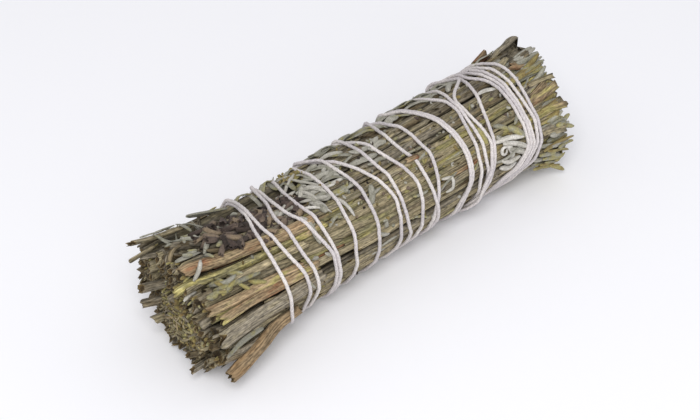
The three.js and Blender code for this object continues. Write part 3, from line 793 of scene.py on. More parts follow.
# %% Strips laid over the stems
GOLDEN_ANGLE = 137.5
dice = np.random.default_rng(22)
strips = []
for number in range(190):
    x = dice.uniform(-50, 36)
    angle = (number * GOLDEN_ANGLE) % 360
    length = dice.uniform(12, 44)
    if -40 < angle < 22 and x < -8:  # leaves the hollow on top open
        continue
    length = min(length, float(far_cut(angle)) - x - 1)
    half_width = dice.uniform(0.32, 0.8)
    line = lay(along_grain(x, angle, length, dice, stray=2.0), half_width, 0.3, step=1.1, sink=0.3)
    line = kept_above(line, PRESSED_LEVEL)
    tone = tone_at(x + length / 2, angle) + dice.uniform(-0.22, 0.22)
    shade = dice.uniform(0.85, 1.1)
    strips.append(strip(line, half_width, 0.34, dice, tone, shade, sides=14, cup=0.3, torn=2.2))
make_piece("split_strips", strips, dried_stem)
remember(*strips)
print("strips:", len(strips))

# %% [markdown]
# ## The near end's own pieces
# The thick near end shows single pieces, each with a shape of its own: an orange-brown stem, an olive
# one with a pale cut end, two flat pink-tan strips and a broad weathered one. A random rule can't give
# those, so they are placed one by one from a table, and only the dark tangle behind them is random.

# %% Rods and strips with places of their own
# [x, angle] places, half width, for a strip its half thickness, tone, shade and its two ends' lift.
NEAR_RODS = [
    ([[-50.0, -14], [-40.3, -27], [-28.9, -36]], 0.9, 0.17, 1.0, (0.2, 0.0)),
    ([[-51.2, 15], [-44.7, 19], [-33.4, 26], [-26.5, 31], [-19, 34]], 1.4, 0.88, 1.04, (0.0, 0.0)),
    ([[-53.0, 23], [-44.4, 32], [-37.6, 36], [-27, 41], [-17, 43]], 0.95, 0.74, 1.14, (0.3, 0.0)),
    ([[-47.5, 45], [-40, 46], [-33.6, 47], [-24, 50]], 0.9, 0.5, 1.08, (0.3, 0.0)),
    ([[-51.0, 7], [-44, 9], [-36, 12]], 0.6, 0.3, 0.9, (0.0, 0.0)),
    ([[-49.4, -30], [-42, -36], [-33, -41]], 0.8, 0.22, 1.0, (0.0, 0.0)),
    ([[-49.8, -40], [-44, -44], [-37, -46]], 0.7, 0.32, 1.0, (0.2, 0.0)),
]
NEAR_STRIPS = [
    ([[-49.6, -47], [-44, -48], [-38, -48]], 0.8, 0.4, 0.3, 0.9, (0.3, 0.0)),
    ([[-50.2, -24], [-44, -30], [-36, -36]], 1.0, 0.4, 0.2, 0.95, (0.1, 0.0)),
    ([[-52.0, 55], [-46, 58], [-38, 61], [-27, 65]], 1.15, 0.4, 0.88, 1.14, (0.2, 0.0)),
    ([[-51.4, 65], [-43, 66], [-35, 69], [-24, 72]], 1.0, 0.4, 0.87, 1.12, (0.2, 0.0)),
    ([[-51.2, 82], [-42.6, 83], [-33.6, 85], [-22, 88]], 2.1, 0.42, 0.24, 1.08, (0.1, 0.0)),
    ([[-51.0, 100], [-47, 106], [-41, 112]], 1.8, 0.35, 0.2, 1.05, (0.5, 0.1)),
    ([[-50.4, 120], [-46, 124], [-40, 128]], 1.4, 0.35, 0.3, 0.95, (0.3, 0.1)),
]
print("placed at the near end:", len(NEAR_RODS), "rods and", len(NEAR_STRIPS), "strips")

# %% Random strips and a tangle of twigs round the back
BACK_TONES = (0.1, 0.18, 0.26, 0.28, 0.38, 0.4, 0.46, 0.52, 0.56, 0.64, 0.72, 0.84, 0.92)
dice = np.random.default_rng(23)
for angle in range(136, 306, 13):
    length, half_width = dice.uniform(9, 18), dice.uniform(0.8, 1.6)
    places = along_grain(near_cut_at(12, angle) + dice.uniform(-0.4, 1.2), angle, length, dice)
    NEAR_STRIPS.append((places, half_width, 0.38, dice.choice(BACK_TONES), 1.0, (0.0, 0.0)))
for _ in range(54):
    x, angle = dice.uniform(-50, -38), dice.uniform(-56, 12)
    x = max(x, near_cut_at(13, angle) + dice.uniform(-0.8, 1.5))
    places = along_grain(x, angle, dice.uniform(6, 15), dice, stray=7)
    tone, radius, shade = dice.uniform(0.05, 0.36), dice.uniform(0.3, 0.75), dice.uniform(0.65, 1.0)
    NEAR_RODS.append((places, radius, tone, shade, (dice.uniform(0, 1.6), 0.0)))
print("with the random ones:", len(NEAR_RODS), "rods and", len(NEAR_STRIPS), "strips")

# %% Lay the near end's pieces
near_parts = []
for places, radius, tone, shade, lift in NEAR_RODS:
    line = lay(places, radius, radius * 0.7, lift=lift, sink=0.3)
    near_parts.append(rod(line, radius, dice, 20, tone, 1.2 * shade, wrinkle=1.3, ragged=0.7))
for places, half_width, half_thick, tone, shade, lift in NEAR_STRIPS:
    line = lay(places, half_width, half_thick, lift=lift, sink=0.2)
    near_parts.append(strip(line, half_width, half_thick, dice, tone, 1.06 * shade, sides=22, cup=0.2))
# A strip and a twig stand away over the back edge: x, distance and angle from tip to foot.
line = around([-53.4, -50, -46, -42, -38], [16.6, 15.7, 14.9, 14.4, 13.6], [-44, -46, -47, -47, -48])
line = smoothed(resampled(line, np.arange(5), np.linspace(0, 4, 22)), 8)
near_parts.append(strip(line, 1.1, 0.4, dice, 0.42, 1.1, sides=22, cup=0.15, torn=1.2))
line = around(np.linspace(-55.2, -49.5, 9), np.linspace(13.4, 13.6, 9), np.linspace(-45, -41, 9))
near_parts.append(rod(line, 0.5, dice, 10, 0.45, 1.0, ragged=0.3))
for _ in range(22):  # twigs that spring up along the same edge
    x, angle = dice.uniform(-50, -42), dice.uniform(-52, -34)
    length, rise = dice.uniform(6, 14), dice.uniform(0.3, 1.6)
    places = along_grain(x, angle, length, dice, stray=5)
    radius = dice.uniform(0.3, 0.8)
    line = lay(places, radius, radius + rise * 0.5, lift=(rise, 0.0), sink=0.2)
    tone, shade = dice.uniform(0.1, 0.42), dice.uniform(0.75, 1.05)
    near_parts.append(rod(line, radius, dice, 10, tone, shade, ragged=0.4))
make_piece("near_end_pieces", near_parts, dried_stem)
remember(*near_parts)
print("near end's pieces:", len(near_parts))

# %% [markdown]
# ## The split strip at the front
# One broad strip of old bark springs away from the front of the near end, twisted on its edge. It is a
# strip like the others, rolled at its free end and laid with that end lifted.

# %% The bark strip
BARK_PLACES = [[-51.0, 113], [-45.0, 111], [-38.0, 107], [-30.0, 102]]
line = lay(BARK_PLACES, 2.1, 0.8, lift=(1.5, 0.0))
bark_width = np.interp(np.linspace(0, 1, len(line)), [0, 0.33, 0.66, 1], [1.3, 1.75, 1.55, 1.0])
bark = strip(line, bark_width, 0.8, dice, 0.58, 1.04, sides=28, cup=0.1, torn=0.5, roll=-1.1)
make_piece("bark_strip", [bark], old_bark, ["bark_strip"])
remember(bark)
print("bark strip:", round(float(distance_along(line)[-1]), 1), "mm long")

# %% [markdown]
# ## The thread
# One cotton thread goes round the bunch from end to end and back. Its turns are known as places, angle
# and x, from the CAD source. How far out it lies comes from the finished surface: it touches the high
# stems and runs straight over the gaps between them, like any tight string. In 1 / distance such a
# straight stretch is the mean of its neighbours over the cosine of the step, which makes pulling it
# tight a short loop. Later turns are lifted over the earlier ones that they cross.

# %% The turns of the thread
# One row of [angle, x] places for each turn, in the order in which it was wound.
WINDING = [
    [[-150, -34.6], [-128, -30.1], [-48, -27.8], [-25, -29], [-3, -30.5], [16, -32], [35, -33],
     [52, -33.2], [69, -33], [84, -32.7], [100, -32.9], [150, -32.2], [205, -31.6]],
    [[-48, -27.6], [-22, -28.6], [-3, -29.4], [18, -29.9], [35, -29.7], [50, -29.2], [62, -28.4],
     [73, -27.6], [90, -27.2], [150, -26.8], [205, -26.6]],
    [[-46, -21], [-29, -21.6], [-8, -22.1], [14, -22.5], [30, -22], [45, -21], [60, -19.8], [71, -19.1],
     [90, -18.9], [150, -19.4], [205, -19.6]],
    [[-48, -16.7], [-29, -17.7], [-10, -18.5], [14, -19], [28, -19.1], [43, -18.7], [60, -18.4],
     [86, -18.2], [150, -18.2], [205, -18.2]],
    [[-48, -10.8], [-37, -11], [-18, -10.9], [3, -11], [24, -11.2], [43, -11.6], [58, -11.9],
     [71, -12.6], [81, -13], [94, -12.9], [150, -13.6], [205, -13.8]],
    [[-46, -8.4], [-35, -6.9], [-25, -5.4], [-18, -4.4], [-3, -2.7], [18, -1], [35, 0.3], [52, 1.3],
     [58, 1.4], [69, 0.8], [81, 0.5], [96, 0.5], [150, -1.2], [205, -1.3]],
    [[-48, 0.6], [-36, 2.6], [-29, 3.9], [-20, 4.8], [-3, 5.5], [16, 6.3], [35, 7.3], [48, 8.2],
     [56, 8.4], [69, 7.6], [79, 7], [94, 6.8], [150, 4.2], [205, 4]],
    [[-44, 12], [-37, 13.2], [-25, 14], [-10, 15.1], [5, 15.2], [22, 15.1], [35, 15.2], [48, 14.7],
     [62, 13.5], [75, 12], [88, 11.2], [98, 10.6], [150, 9.4], [205, 9.4]],
    [[-48, 17.6], [-33, 20.2], [-18, 21.6], [-3, 22.9], [14, 23.5], [35, 24.1], [45, 24.1], [62, 23.4],
     [77, 22.4], [90, 21.5], [105, 20], [150, 18.9], [205, 18.9]],
    [[-48, 25.6], [-37, 26.5], [-20, 27.8], [-8, 28.9], [5, 28.8], [22, 28], [39, 27.2], [52, 26.7],
     [62, 25.9], [77, 25.2], [90, 24.8], [150, 24.8], [205, 24.8]],
    [[-40, 31], [-29, 30.8], [-18, 30.4], [-7, 29.8], [7, 29.4], [22, 29], [40, 28.8], [52, 28.5],
     [62, 27.9], [75, 27.3], [90, 27.1], [150, 27.2], [205, 27.2]],
    [[-36, 38], [-24, 37.5], [-14, 37], [-1, 36.2], [16, 34.7], [35, 33.2], [52, 32], [62, 31.2],
     [77, 29.5], [92, 27.2], [127, 23.1], [205, 22.8]],
    [[-48, 38.2], [-25, 38.6], [-18, 39.4], [-10, 40.8], [1, 41.4], [20, 41.4], [41, 41.1], [56, 40.5],
     [76, 40.2], [90, 38.3], [97, 36.8], [111, 32], [150, 29.6], [205, 29.6]],
    [[-48, 40], [-25, 41.2], [-10, 42.1], [1, 42.5], [20, 42.3], [41, 41.8], [56, 41.2], [76, 41],
     [97, 38], [111, 33.4], [150, 31], [205, 31]],
    [[-48, 42.4], [-25, 44], [-10, 45.1], [5, 45], [22, 44.6], [39, 44.2], [52, 44], [76, 43.1],
     [98, 40.4], [113, 35.8], [150, 33.6], [205, 33.6]],
    [[-48, 44], [-29, 46], [-18, 47], [-6, 47.4], [7, 47], [22, 46.4], [37, 45.7], [47, 45.2],
     [60, 44.7], [77, 44.2], [90, 43.3], [103, 41.8], [114, 37.8], [150, 34.9], [205, 34.9]],
    [[-48, 41.2], [-25, 42.6], [-10, 43.2], [1, 43.5], [20, 43.2], [41, 42.7], [56, 42.1], [76, 41.9],
     [98, 39.4], [112, 34.8], [150, 32.3], [205, 32.3]],
    [[-29, 37.2], [-22, 35], [-16, 32.8], [-7, 31], [1, 30.4], [14, 30.2], [30, 30.4], [45, 30.7],
     [58, 30.6], [72, 29], [92, 25.9], [150, 21.4], [205, 21.4]],
    [[-48, 16.8], [-33, 19.4], [-18, 20.8], [-3, 22.1], [14, 22.7], [35, 23.3], [45, 23.3], [62, 22.6],
     [77, 21.6], [90, 20.7], [105, 19], [150, 17.5], [205, 17.5]],
    [[-43, 11.4], [-37, 11.2], [-20, 10.5], [-3, 10.2], [18, 10.4], [39, 11], [52, 11], [66, 10.9],
     [77, 10.8], [90, 11], [105, 11], [150, 11], [205, 11]],
    [[-45, 1.4], [-33, 2.1], [-18, 2.3], [-3, 2.5], [18, 2.6], [35, 2.9], [48, 2.9], [64, 2.6],
     [75, 2.3], [90, 2.8], [105, 3.4], [150, 2.5], [205, 2.5]],
    [[-46, -9], [-35, -7.5], [-25, -6], [-12, -5.7], [5, -5.2], [26, -4.7], [43, -4.8], [58, -5],
     [73, -5.8], [81, -6.2], [92, -6.2], [150, -7.1], [205, -7.2]],
    [[-44, -21.9], [-22, -23], [-3, -24.5], [16, -25.7], [35, -26.2], [52, -26], [69, -25.3],
     [81, -24.9], [92, -24.7], [205, -24.8], [232, -30.1], [254, -32.6]],
]
print("turns of thread:", len(WINDING))

# %% The thread's route
THREAD_RADIUS = 0.41
ROUTE_STEP = 2  # degrees
PER_TURN = 360 // ROUTE_STEP


def smooth_between(knots, places):
    """Smooth values at places between knots. They never swing past a knot."""
    at, value = np.array(knots, float).T
    rise = np.diff(value) / np.diff(at)
    slope = np.zeros(len(at))
    same = rise[:-1] * rise[1:] > 0
    slope[1:-1][same] = (2 * rise[:-1] * rise[1:])[same] / (rise[:-1] + rise[1:])[same]
    low = np.clip(np.searchsorted(at, places, side="right") - 1, 0, len(at) - 2)
    span = at[low + 1] - at[low]
    t = (places - at[low]) / span
    bend = t * (1 - t) * span * ((1 - t) * slope[low] - t * slope[low + 1])
    return value[low] + (value[low + 1] - value[low]) * t * t * (3 - 2 * t) + bend


def pull_tight(away, rounds=500):
    """Shortens a route's distances until it is straight wherever nothing holds it out."""
    nearness = 1 / away
    limit = nearness.copy()
    spread = 2 * math.cos(math.radians(ROUTE_STEP))
    for _ in range(rounds):
        nearness[1:-1] = np.minimum(limit[1:-1], (nearness[:-2] + nearness[2:]) / spread)
    return 1 / nearness


knots = [[angle + 360 * turn, x] for turn, places in enumerate(WINDING) for angle, x in places]
route_angle = np.arange(knots[0][0], knots[-1][0] + 1, ROUTE_STEP, dtype=float)
route_x = smooth_between(knots, route_angle)
under = surface(route_x[:, None] + [-0.3, 0.0, 0.3], route_angle[:, None]).max(1)
route_away = pull_tight(np.maximum(under, INSIDE) + THREAD_RADIUS * 0.85)
for first in range(PER_TURN, len(route_x), PER_TURN):
    here = np.arange(first, min(first + PER_TURN, len(route_x)))
    for back in range(PER_TURN, first + 1, PER_TURN):
        beside = route_x[here] - route_x[here - back]
        close = np.abs(beside) < 2 * THREAD_RADIUS
        over = route_away[here - back] + np.sqrt(np.maximum(4 * THREAD_RADIUS**2 - beside**2, 0))
        route_away[here] = np.where(close, np.maximum(route_away[here], over), route_away[here])
    route_away = pull_tight(route_away, 120)
print("points along the thread:", len(route_x))

# %% [markdown]
# ### Two yarns
# Real sewing cotton is two yarns twisted together, which shows as slanting bumps about every 1.5 mm. A
# bump map could draw them, but the outline of the thread would stay smooth. The section is therefore a
# figure of eight whose waist turns as it goes along.

# %% The twisted thread and its knot
THREAD_STEP = 0.36  # mm from ring to ring
PLY_PITCH = 3.0  # mm for one full turn of the two yarns
KNOT_ANGLE, KNOT_X, KNOT_SIZE = 232.0, -30.1, 0.34
PAINTED_THREAD_SHADE = 0.84  # painted shade on the thread's low side and back


def twisted_cord(line, shade):
    """Cotton cord along a line, one piece from end to end."""
    at = distance_along(line)
    spots = np.linspace(0, at[-1], int(at[-1] / THREAD_STEP))
    shade = np.interp(spots, at, np.broadcast_to(shade, at.shape))
    line = smoothed(resampled(line, at, spots), 2)
    turn = once_round(12)
    lean = (2 * np.pi * spots / PLY_PITCH)[:, None]
    reach = THREAD_RADIUS * (0.86 + 0.16 * np.abs(np.cos(turn - lean)))
    tones = 0.55 + 0.25 * wander(spots, 6, np.random.default_rng(31))
    return sweep(line, reach * np.cos(turn), reach * np.sin(turn), tones, shade, lids=())


route = kept_above(around(route_x, route_away, route_angle), THREAD_RADIUS)
knot_place = np.searchsorted(route_angle, KNOT_ANGLE + 360 * (len(WINDING) - 1))
loop = np.linspace(0, 2 * np.pi, 60)
knot_line = around(
    KNOT_X + KNOT_SIZE * (np.sin(loop) + 2 * np.sin(2 * loop)),
    route_away[knot_place] + 0.55 - KNOT_SIZE * 1.1 * np.sin(3 * loop),
    KNOT_ANGLE + as_angle(KNOT_SIZE * (np.cos(loop) - 2 * np.cos(2 * loop))),
)
# Painted shade: the thread, and the knot at the back, are greyed away from the lit top front.
from_top = np.abs((route_angle - 35 + 180) % 360 - 180)
thread = twisted_cord(route, np.interp(from_top, [30, 70], [1.0, PAINTED_THREAD_SHADE]))
knot = twisted_cord(knot_line, PAINTED_THREAD_SHADE)
make_piece("binding_thread", [thread, knot], bleached_cotton, ["binding_thread"])
print("thread length:", round(float(distance_along(route)[-1])), "mm")

# %% [markdown]
# ## Leaves
# A lavender leaf is narrow and stiff. As it dries its edges roll under, its middle sinks to a groove,
# and it curls. Each leaf is a sweep with a lens-shaped section that does all three. Leaves lie on the
# bunch in every direction and the thread presses down those that it crosses, so a leaf's line dips
# wherever it passes under a turn.

# %% How far out a leaf may lie
UNDER_THREAD = 0.55  # mm from the thread's middle down to a leaf's
PRESSED = 0.4  # mm beside a turn within which a leaf is held down
route_tree = KDTree(len(route_x))
for number, (x, angle) in enumerate(zip(route_x, route_angle)):
    route_tree.insert((x, math.radians(angle % 360) * GIRTH_RADIUS, 0.0), number)
route_tree.balance()


def ceiling(x, angle):
    """How far out a leaf may lie: below any turn of thread that is near, and free elsewhere."""
    limits = np.full(len(x), OUTSIDE)
    for k in range(len(x)):
        spot = (x[k], math.radians(angle[k] % 360) * GIRTH_RADIUS, 0.0)
        for _, number, beside in route_tree.find_range(spot, 1.3):
            limit = route_away[number] - UNDER_THREAD + max(0.0, beside - PRESSED) * 1.2
            limits[k] = min(limits[k], limit)
    return limits


print("a leaf under a turn lies", round(float(ceiling([0.8], [-48])[0]), 1), "mm out at most")

# %% One leaf
LEAF_BED, LEAF_CLEAR = 0.25, 0.35  # mm from a leaf's line down to its bed, and to the floor
# Shares of the length from foot to tip, and how wide the leaf is there.
LEAF_OUTLINE = ((0, 0.45), (0.08, 0.75), (0.3, 1.0), (0.75, 0.95), (0.93, 0.72), (1, 0.4))


def leaf_line(x, angle, heading, length, bend, lift, rise):
    """heading is the leaf's direction in degrees: 0 points to the far end, 90 to the front."""
    steps = np.linspace(0, length, max(7, int(length / 0.75)))
    turn = np.radians(heading + bend * steps / length)
    dx, ds = np.cos(turn) * (steps[1] - steps[0]), np.sin(turn) * (steps[1] - steps[0])
    xs, angles = x + np.cumsum(dx), angle + as_angle(np.cumsum(ds))
    away = resting(xs, angles, [-2.5, 0.0, 2.5], 10) + LEAF_BED + rise + lift * (steps / length) ** 2
    away = smoothed(np.minimum(away, ceiling(xs, angles)), 1)
    return kept_above(around(xs, away, angles), LEAF_CLEAR)


def leaf(line, half_width, dice, tone, shade=1.0, sides=10, thick=0.2, fold=None, roll=None):
    """fold is how far its edges roll under, roll how it twists from foot to tip."""
    along = distance_along(line)
    share = along / along[-1]
    turn = once_round(sides) + 0.5 * np.pi / sides
    outline = np.interp(share, *zip(*LEAF_OUTLINE))
    width = (half_width * outline * (1 + 0.1 * wander(along, 3, dice)))[:, None]
    fold = dice.uniform(0.1, 0.5) if fold is None else fold
    roll = dice.uniform(-0.9, 0.9) if roll is None else roll
    across = width * np.cos(turn) * (1 - 0.25 * fold)
    groove = np.where(np.sin(turn) > 0, 0.7 * np.exp(-((np.cos(turn) / 0.3) ** 2)), 0.0)
    drop = fold * width * np.abs(np.cos(turn)) ** 2.5
    high = thick * (np.sin(turn) - groove) * outline[:, None] ** 0.5 - drop
    across, high = rolled(across, high, (dice.uniform(-0.4, 0.4) + roll * (share - 0.3))[:, None])
    tones = tone + 0.05 * wander(along, 4, dice)
    return sweep(line, across, high, tones, shade, lids=())


print("a leaf is widest", LEAF_OUTLINE[2][0], "of the way from foot to tip")

# %% [markdown]
# ### Leaves, from the ones that show most to the loose ones
# The frame holds eight leaves, which stay where it has them. Forty more show so well that each gets its
# own place, and then the rest are scattered over the regions that have them. Blender could scatter
# copies over a surface, but here each leaf has to know the thread above it and the stems below it.

# %% The eight leaves of the frame
# Their x and angle places are the CAD nodes' own, from foot to tip, then half width and tone.
FRAME_LEAVES = [
    ([[-33.0, -10], [-37.6, -20], [-42.6, -31]], 1.0, 0.55),
    ([[-11.4, 6], [-15.1, 3], [-19.0, 2]], 0.75, 0.8),
    ([[-19.8, 5], [-24.6, 3], [-30.1, 5]], 0.85, 0.62),
    ([[-37.0, 50], [-42.6, 47], [-48.6, 43]], 0.6, 0.4),
    ([[32.8, 57], [34.4, 67], [35.3, 79], [34.4, 90]], 0.9, 0.98),
    ([[33.8, 46], [35.4, 52], [37.0, 60]], 0.65, 0.45),
    ([[46.8, 82], [50.4, 87], [54.6, 85]], 0.85, 0.6),
    ([[43.4, 116], [47.9, 123], [52.4, 128]], 0.95, 0.5),
]
dice = np.random.default_rng(40)
for number, (places, half_width, tone) in enumerate(FRAME_LEAVES, start=1):
    x, away, angle = unrolled(lay(places, half_width, 0.25, stiff=10))
    line = around(x, np.minimum(away, ceiling(x, angle)), angle)
    name = f"leaf_{number:02d}"
    shade = 0.8 if line[0, 0] < -36 else 1.0  # painted shade: darker in the shelter of the near end
    body = leaf(line, half_width, dice, tone, shade, sides=14)
    make_piece(name, [body], felted_leaf, [name])
print("leaves of the frame:", len(FRAME_LEAVES))

# %% Leaves that show most, each in its place
# Places from foot to tip, half width, tone and shade.
PLACED_LEAVES = [
    ([[-38.4, -46], [-32.9, -47], [-30.9, -38], [-30.4, -24]], 0.75, 0.62, 1.00),
    ([[-50.6, 1], [-47, 4], [-44.2, 1]], 0.80, 0.56, 0.95),
    ([[-44.6, 9], [-42.8, 3], [-41.2, -4]], 0.65, 0.66, 1.00),
    ([[-41.6, 11], [-39.8, 7], [-38, 3]], 0.80, 0.38, 1.00),
    ([[-50.2, 26], [-48.6, 22], [-47.4, 17]], 0.60, 0.74, 1.00),
    ([[-53.4, 37], [-51.6, 34], [-50, 35]], 0.50, 0.8, 1.00),
    ([[-47.6, 38], [-45, 42], [-42.6, 41]], 0.60, 0.55, 0.95),
    ([[-50.6, 45], [-49.4, 47], [-48, 45]], 0.90, 0.36, 0.90),
    ([[-51.4, 94], [-46, 92], [-41.2, 91]], 0.90, 0.50, 0.80),
    ([[-17.6, -36], [-15.6, -16], [-14.2, 0]], 0.90, 0.66, 1.05),
    ([[-16.8, -8], [-13.5, -3], [-10.9, 0]], 0.85, 0.74, 1.05),
    ([[-16, 4], [-15.6, 18], [-15.4, 34]], 0.95, 0.54, 1.00),
    ([[-15.6, -14], [-12.6, -17], [-10.4, -12]], 0.85, 0.62, 1.05),
    ([[-14.9, 13], [-12.6, 19], [-10.7, 15]], 0.85, 0.64, 1.05),
    ([[-10.9, -11], [-8.2, -6], [-6.2, 3]], 0.95, 0.76, 1.05),
    ([[-10.6, 5], [-8, 9], [-5.4, 7]], 0.60, 0.88, 1.05),
    ([[-10.8, 17], [-8.8, 21], [-6.6, 19]], 1.00, 0.42, 1.00),
    ([[-9.8, -23], [-7, -17], [-4.6, -6]], 0.85, 0.60, 1.00),
    ([[-16.2, -33], [-14, -29], [-11.8, -31]], 1.30, 0.30, 1.00),
    ([[-20.4, -22], [-19.2, -12], [-18.9, 0]], 0.70, 0.58, 0.90),
    ([[-3.6, -29], [-1.7, -18], [-0.4, -9]], 0.90, 0.44, 0.95),
    ([[-2.4, -4], [1.6, -1], [5, 3]], 0.90, 0.64, 0.98),
    ([[0.2, -16], [4, -11], [8.2, -13]], 0.85, 0.68, 1.00),
    ([[1, 10], [4, 10], [7, 13]], 0.60, 0.60, 0.90),
    ([[4.6, -5], [6.6, -8], [8.8, -3]], 0.80, 0.72, 1.00),
    ([[-4.5, 52], [-3.4, 44], [-2.5, 33]], 1.00, 0.58, 1.00),
    ([[-16.6, 48], [-14, 43], [-11.6, 43]], 0.50, 0.50, 1.00),
    ([[13.3, -30], [15.3, -32], [17.4, -27]], 1.30, 0.68, 1.00),
    ([[14.2, 65], [16.6, 68], [16, 76], [13.6, 76]], 0.50, 0.86, 1.05),
    ([[20, -36], [25, -32], [30, -30]], 0.80, 0.60, 0.95),
    ([[36.0, 2], [38, 6], [40.3, 11]], 0.75, 0.98, 1.05),
    ([[29.7, 39], [29.5, 49], [29.2, 58]], 0.95, 0.36, 1.08),
    ([[31.4, 62], [35, 63], [39.2, 69]], 0.65, 0.98, 1.05),
    ([[33.2, 66], [36.5, 72], [39.8, 82]], 0.80, 0.90, 1.00),
    ([[34.6, 74], [37.2, 80], [39.6, 88]], 0.70, 0.80, 0.95),
    ([[31.2, 79], [33.5, 85], [36.6, 84]], 0.70, 0.90, 1.00),
    ([[31.8, 92], [34, 95], [36.2, 92]], 0.90, 0.94, 0.95),
    ([[36.3, 54], [38, 62], [39.9, 73]], 0.95, 0.36, 1.12),
    ([[42.6, 106], [46.6, 112], [51, 112]], 0.90, 0.70, 0.95),
    ([[44.2, 92], [48.5, 97], [52, 99]], 0.90, 0.60, 1.00),
]
print("leaves with a place of their own:", len(PLACED_LEAVES))

# %% Lay them, and two that stand up
dice = np.random.default_rng(45)
placed = []
for places, half_width, tone, shade in PLACED_LEAVES:
    x, away, angle = unrolled(lay(places, half_width, 0.3, stiff=8, lift=(0.2, 0.6)))
    line = around(x, smoothed(np.minimum(away, ceiling(x, angle)), 2), angle)
    roll = dice.uniform(-0.4, 0.4)
    placed.append(leaf(line, half_width, dice, tone, shade, sides=14, thick=0.26, roll=roll))
# One rises over the back edge, and one has curled up into a ring.
line = around(np.linspace(-29.5, -39.0, 13), np.linspace(13.1, 15.9, 13), np.linspace(-48, -45, 13))
placed.append(leaf(line, 1.0, dice, 0.5, 0.95, sides=12, thick=0.3, roll=0.3))
turns = np.linspace(0, 1.8 * np.pi, 9)
ring_places = np.stack([33.0 + 0.9 * np.cos(turns), 73 + as_angle(0.9 * np.sin(turns))], 1)
ring_line = lay(ring_places, 0.4, 0.5, stiff=4, step=0.35)
placed.append(leaf(ring_line, 0.4, dice, 0.96, 1.05, sides=10, thick=0.3, fold=0.2, roll=0.0))
make_piece("leaves_in_place", placed, felted_leaf)
remember(*placed)
print("leaves laid:", len(placed))

# %% The loose leaves, region by region
# Region, how many, seed, and ranges of x, angle and length. Then ranges of half width and tone, how far
# headings stray from the stick's own, in degrees, and ranges of the tip's lift and the leaf's rise.
LOOSE_LEAVES = [
    ("hollow", 34, 41, (-23, -4), (-56, 20), (4, 9),
     (0.4, 0.8), (0.5, 0.9), 60, (0, 0.5), (-0.3, 0.1)),
    ("ridge", 22, 42, (-6, 44), (-80, -30), (4, 9),
     (0.6, 1.0), (0.4, 0.76), 14, (0, 0.2), (-0.3, 0.1)),
    ("between", 60, 43, (-30, 44), (20, 320), (3, 8),
     (0.3, 0.6), (0.38, 0.7), 10, (0, 0.1), (-0.4, -0.1)),
    ("between", 14, 44, (-47, -30), (130, 310), (3, 7),
     (0.5, 0.85), (0.2, 0.75), 24, (0, 0.4), (-0.3, 0.2)),
    ("between", 26, 46, (-47, -40), (-52, 12), (2, 5),
     (0.35, 0.7), (0.42, 0.6), 40, (0, 0.6), (-0.2, 0.3)),
    ("ridge", 30, 47, (-24, 44), (-60, -40), (5, 11),
     (0.9, 1.5), (0.42, 0.62), 10, (0, 0.5), (0.1, 0.7)),
    ("between", 9, 48, (-47, -40), (45, 53), (2.5, 4.5),
     (0.4, 0.7), (0.16, 0.4), 30, (0, 0.2), (-0.6, -0.2)),
]


def scatter_leaves(count, seed, x_range, angle_range, lengths, widths, tones, spread, lift, rise):
    """Leaves over a stretch of the stick, pointing to either end of it."""
    dice = np.random.default_rng(seed)
    parts = []
    for _ in range(count):
        x, angle = dice.uniform(*x_range), dice.uniform(*angle_range)
        heading = dice.choice([0, 180]) + dice.uniform(-spread, spread) + 40 * (x < -15)
        length, bend = dice.uniform(*lengths), dice.uniform(-50, 50)
        line = leaf_line(x, angle, heading, length, bend, dice.uniform(*lift), dice.uniform(*rise))
        tone, half_width, shade = dice.uniform(*tones), dice.uniform(*widths), dice.uniform(0.85, 1.1)
        parts.append(leaf(line, half_width, dice, tone, shade))
    return parts


loose = {"hollow": [], "ridge": [], "between": []}
for region, *settings in LOOSE_LEAVES:
    loose[region] += scatter_leaves(*settings)
for region, parts in loose.items():
    make_piece(f"leaves_{region}", parts, felted_leaf)
    print("loose leaves,", region + ":", len(parts))

# %% [markdown]
# ## The far end's tuft
# Past the last turns of thread the bunch ends in a tuft: torn leaves and flat bits of stem of uneven
# length, packed side by side. Each one starts inside the bunch and points out of it, and flares a
# little away from the axis. Extruding the end's outline would give one solid block, so every torn piece
# is made by itself.

# %% Torn ends that point out of the bunch
TORN_CLEAR = 0.4  # mm from a torn piece's line down to the floor


def way_out(dice, x):
    """A random angle at an x, and how far out the surface is there."""
    angle = dice.uniform(0, 360)
    return angle, float(surface(x, angle))


def end_sliver(x, away, angle, sense, length, flare, dice, half_width, tone, shade, wood=False):
    """A torn piece that points out of an end: sense is -1 at the near end and 1 at the far one."""
    share = np.linspace(0, 1, max(6, int(length / 0.9)))
    xs = x + sense * length * share * math.cos(math.radians(flare))
    aways = away + length * math.sin(math.radians(flare)) * share**1.4
    sway = as_angle(dice.uniform(-0.25, 0.25) * length) * share**2
    line = kept_above(around(xs, np.maximum(aways, 0.3), angle + sway), TORN_CLEAR)
    if wood:
        return strip(line, half_width, 0.2, dice, tone, shade, sides=8, torn=0.5, cup=0.1)
    return leaf(line, half_width, dice, tone, shade, sides=8)


print("the far end's rim is", round(float(surface(48.0, 0.0)), 1), "mm out on top")

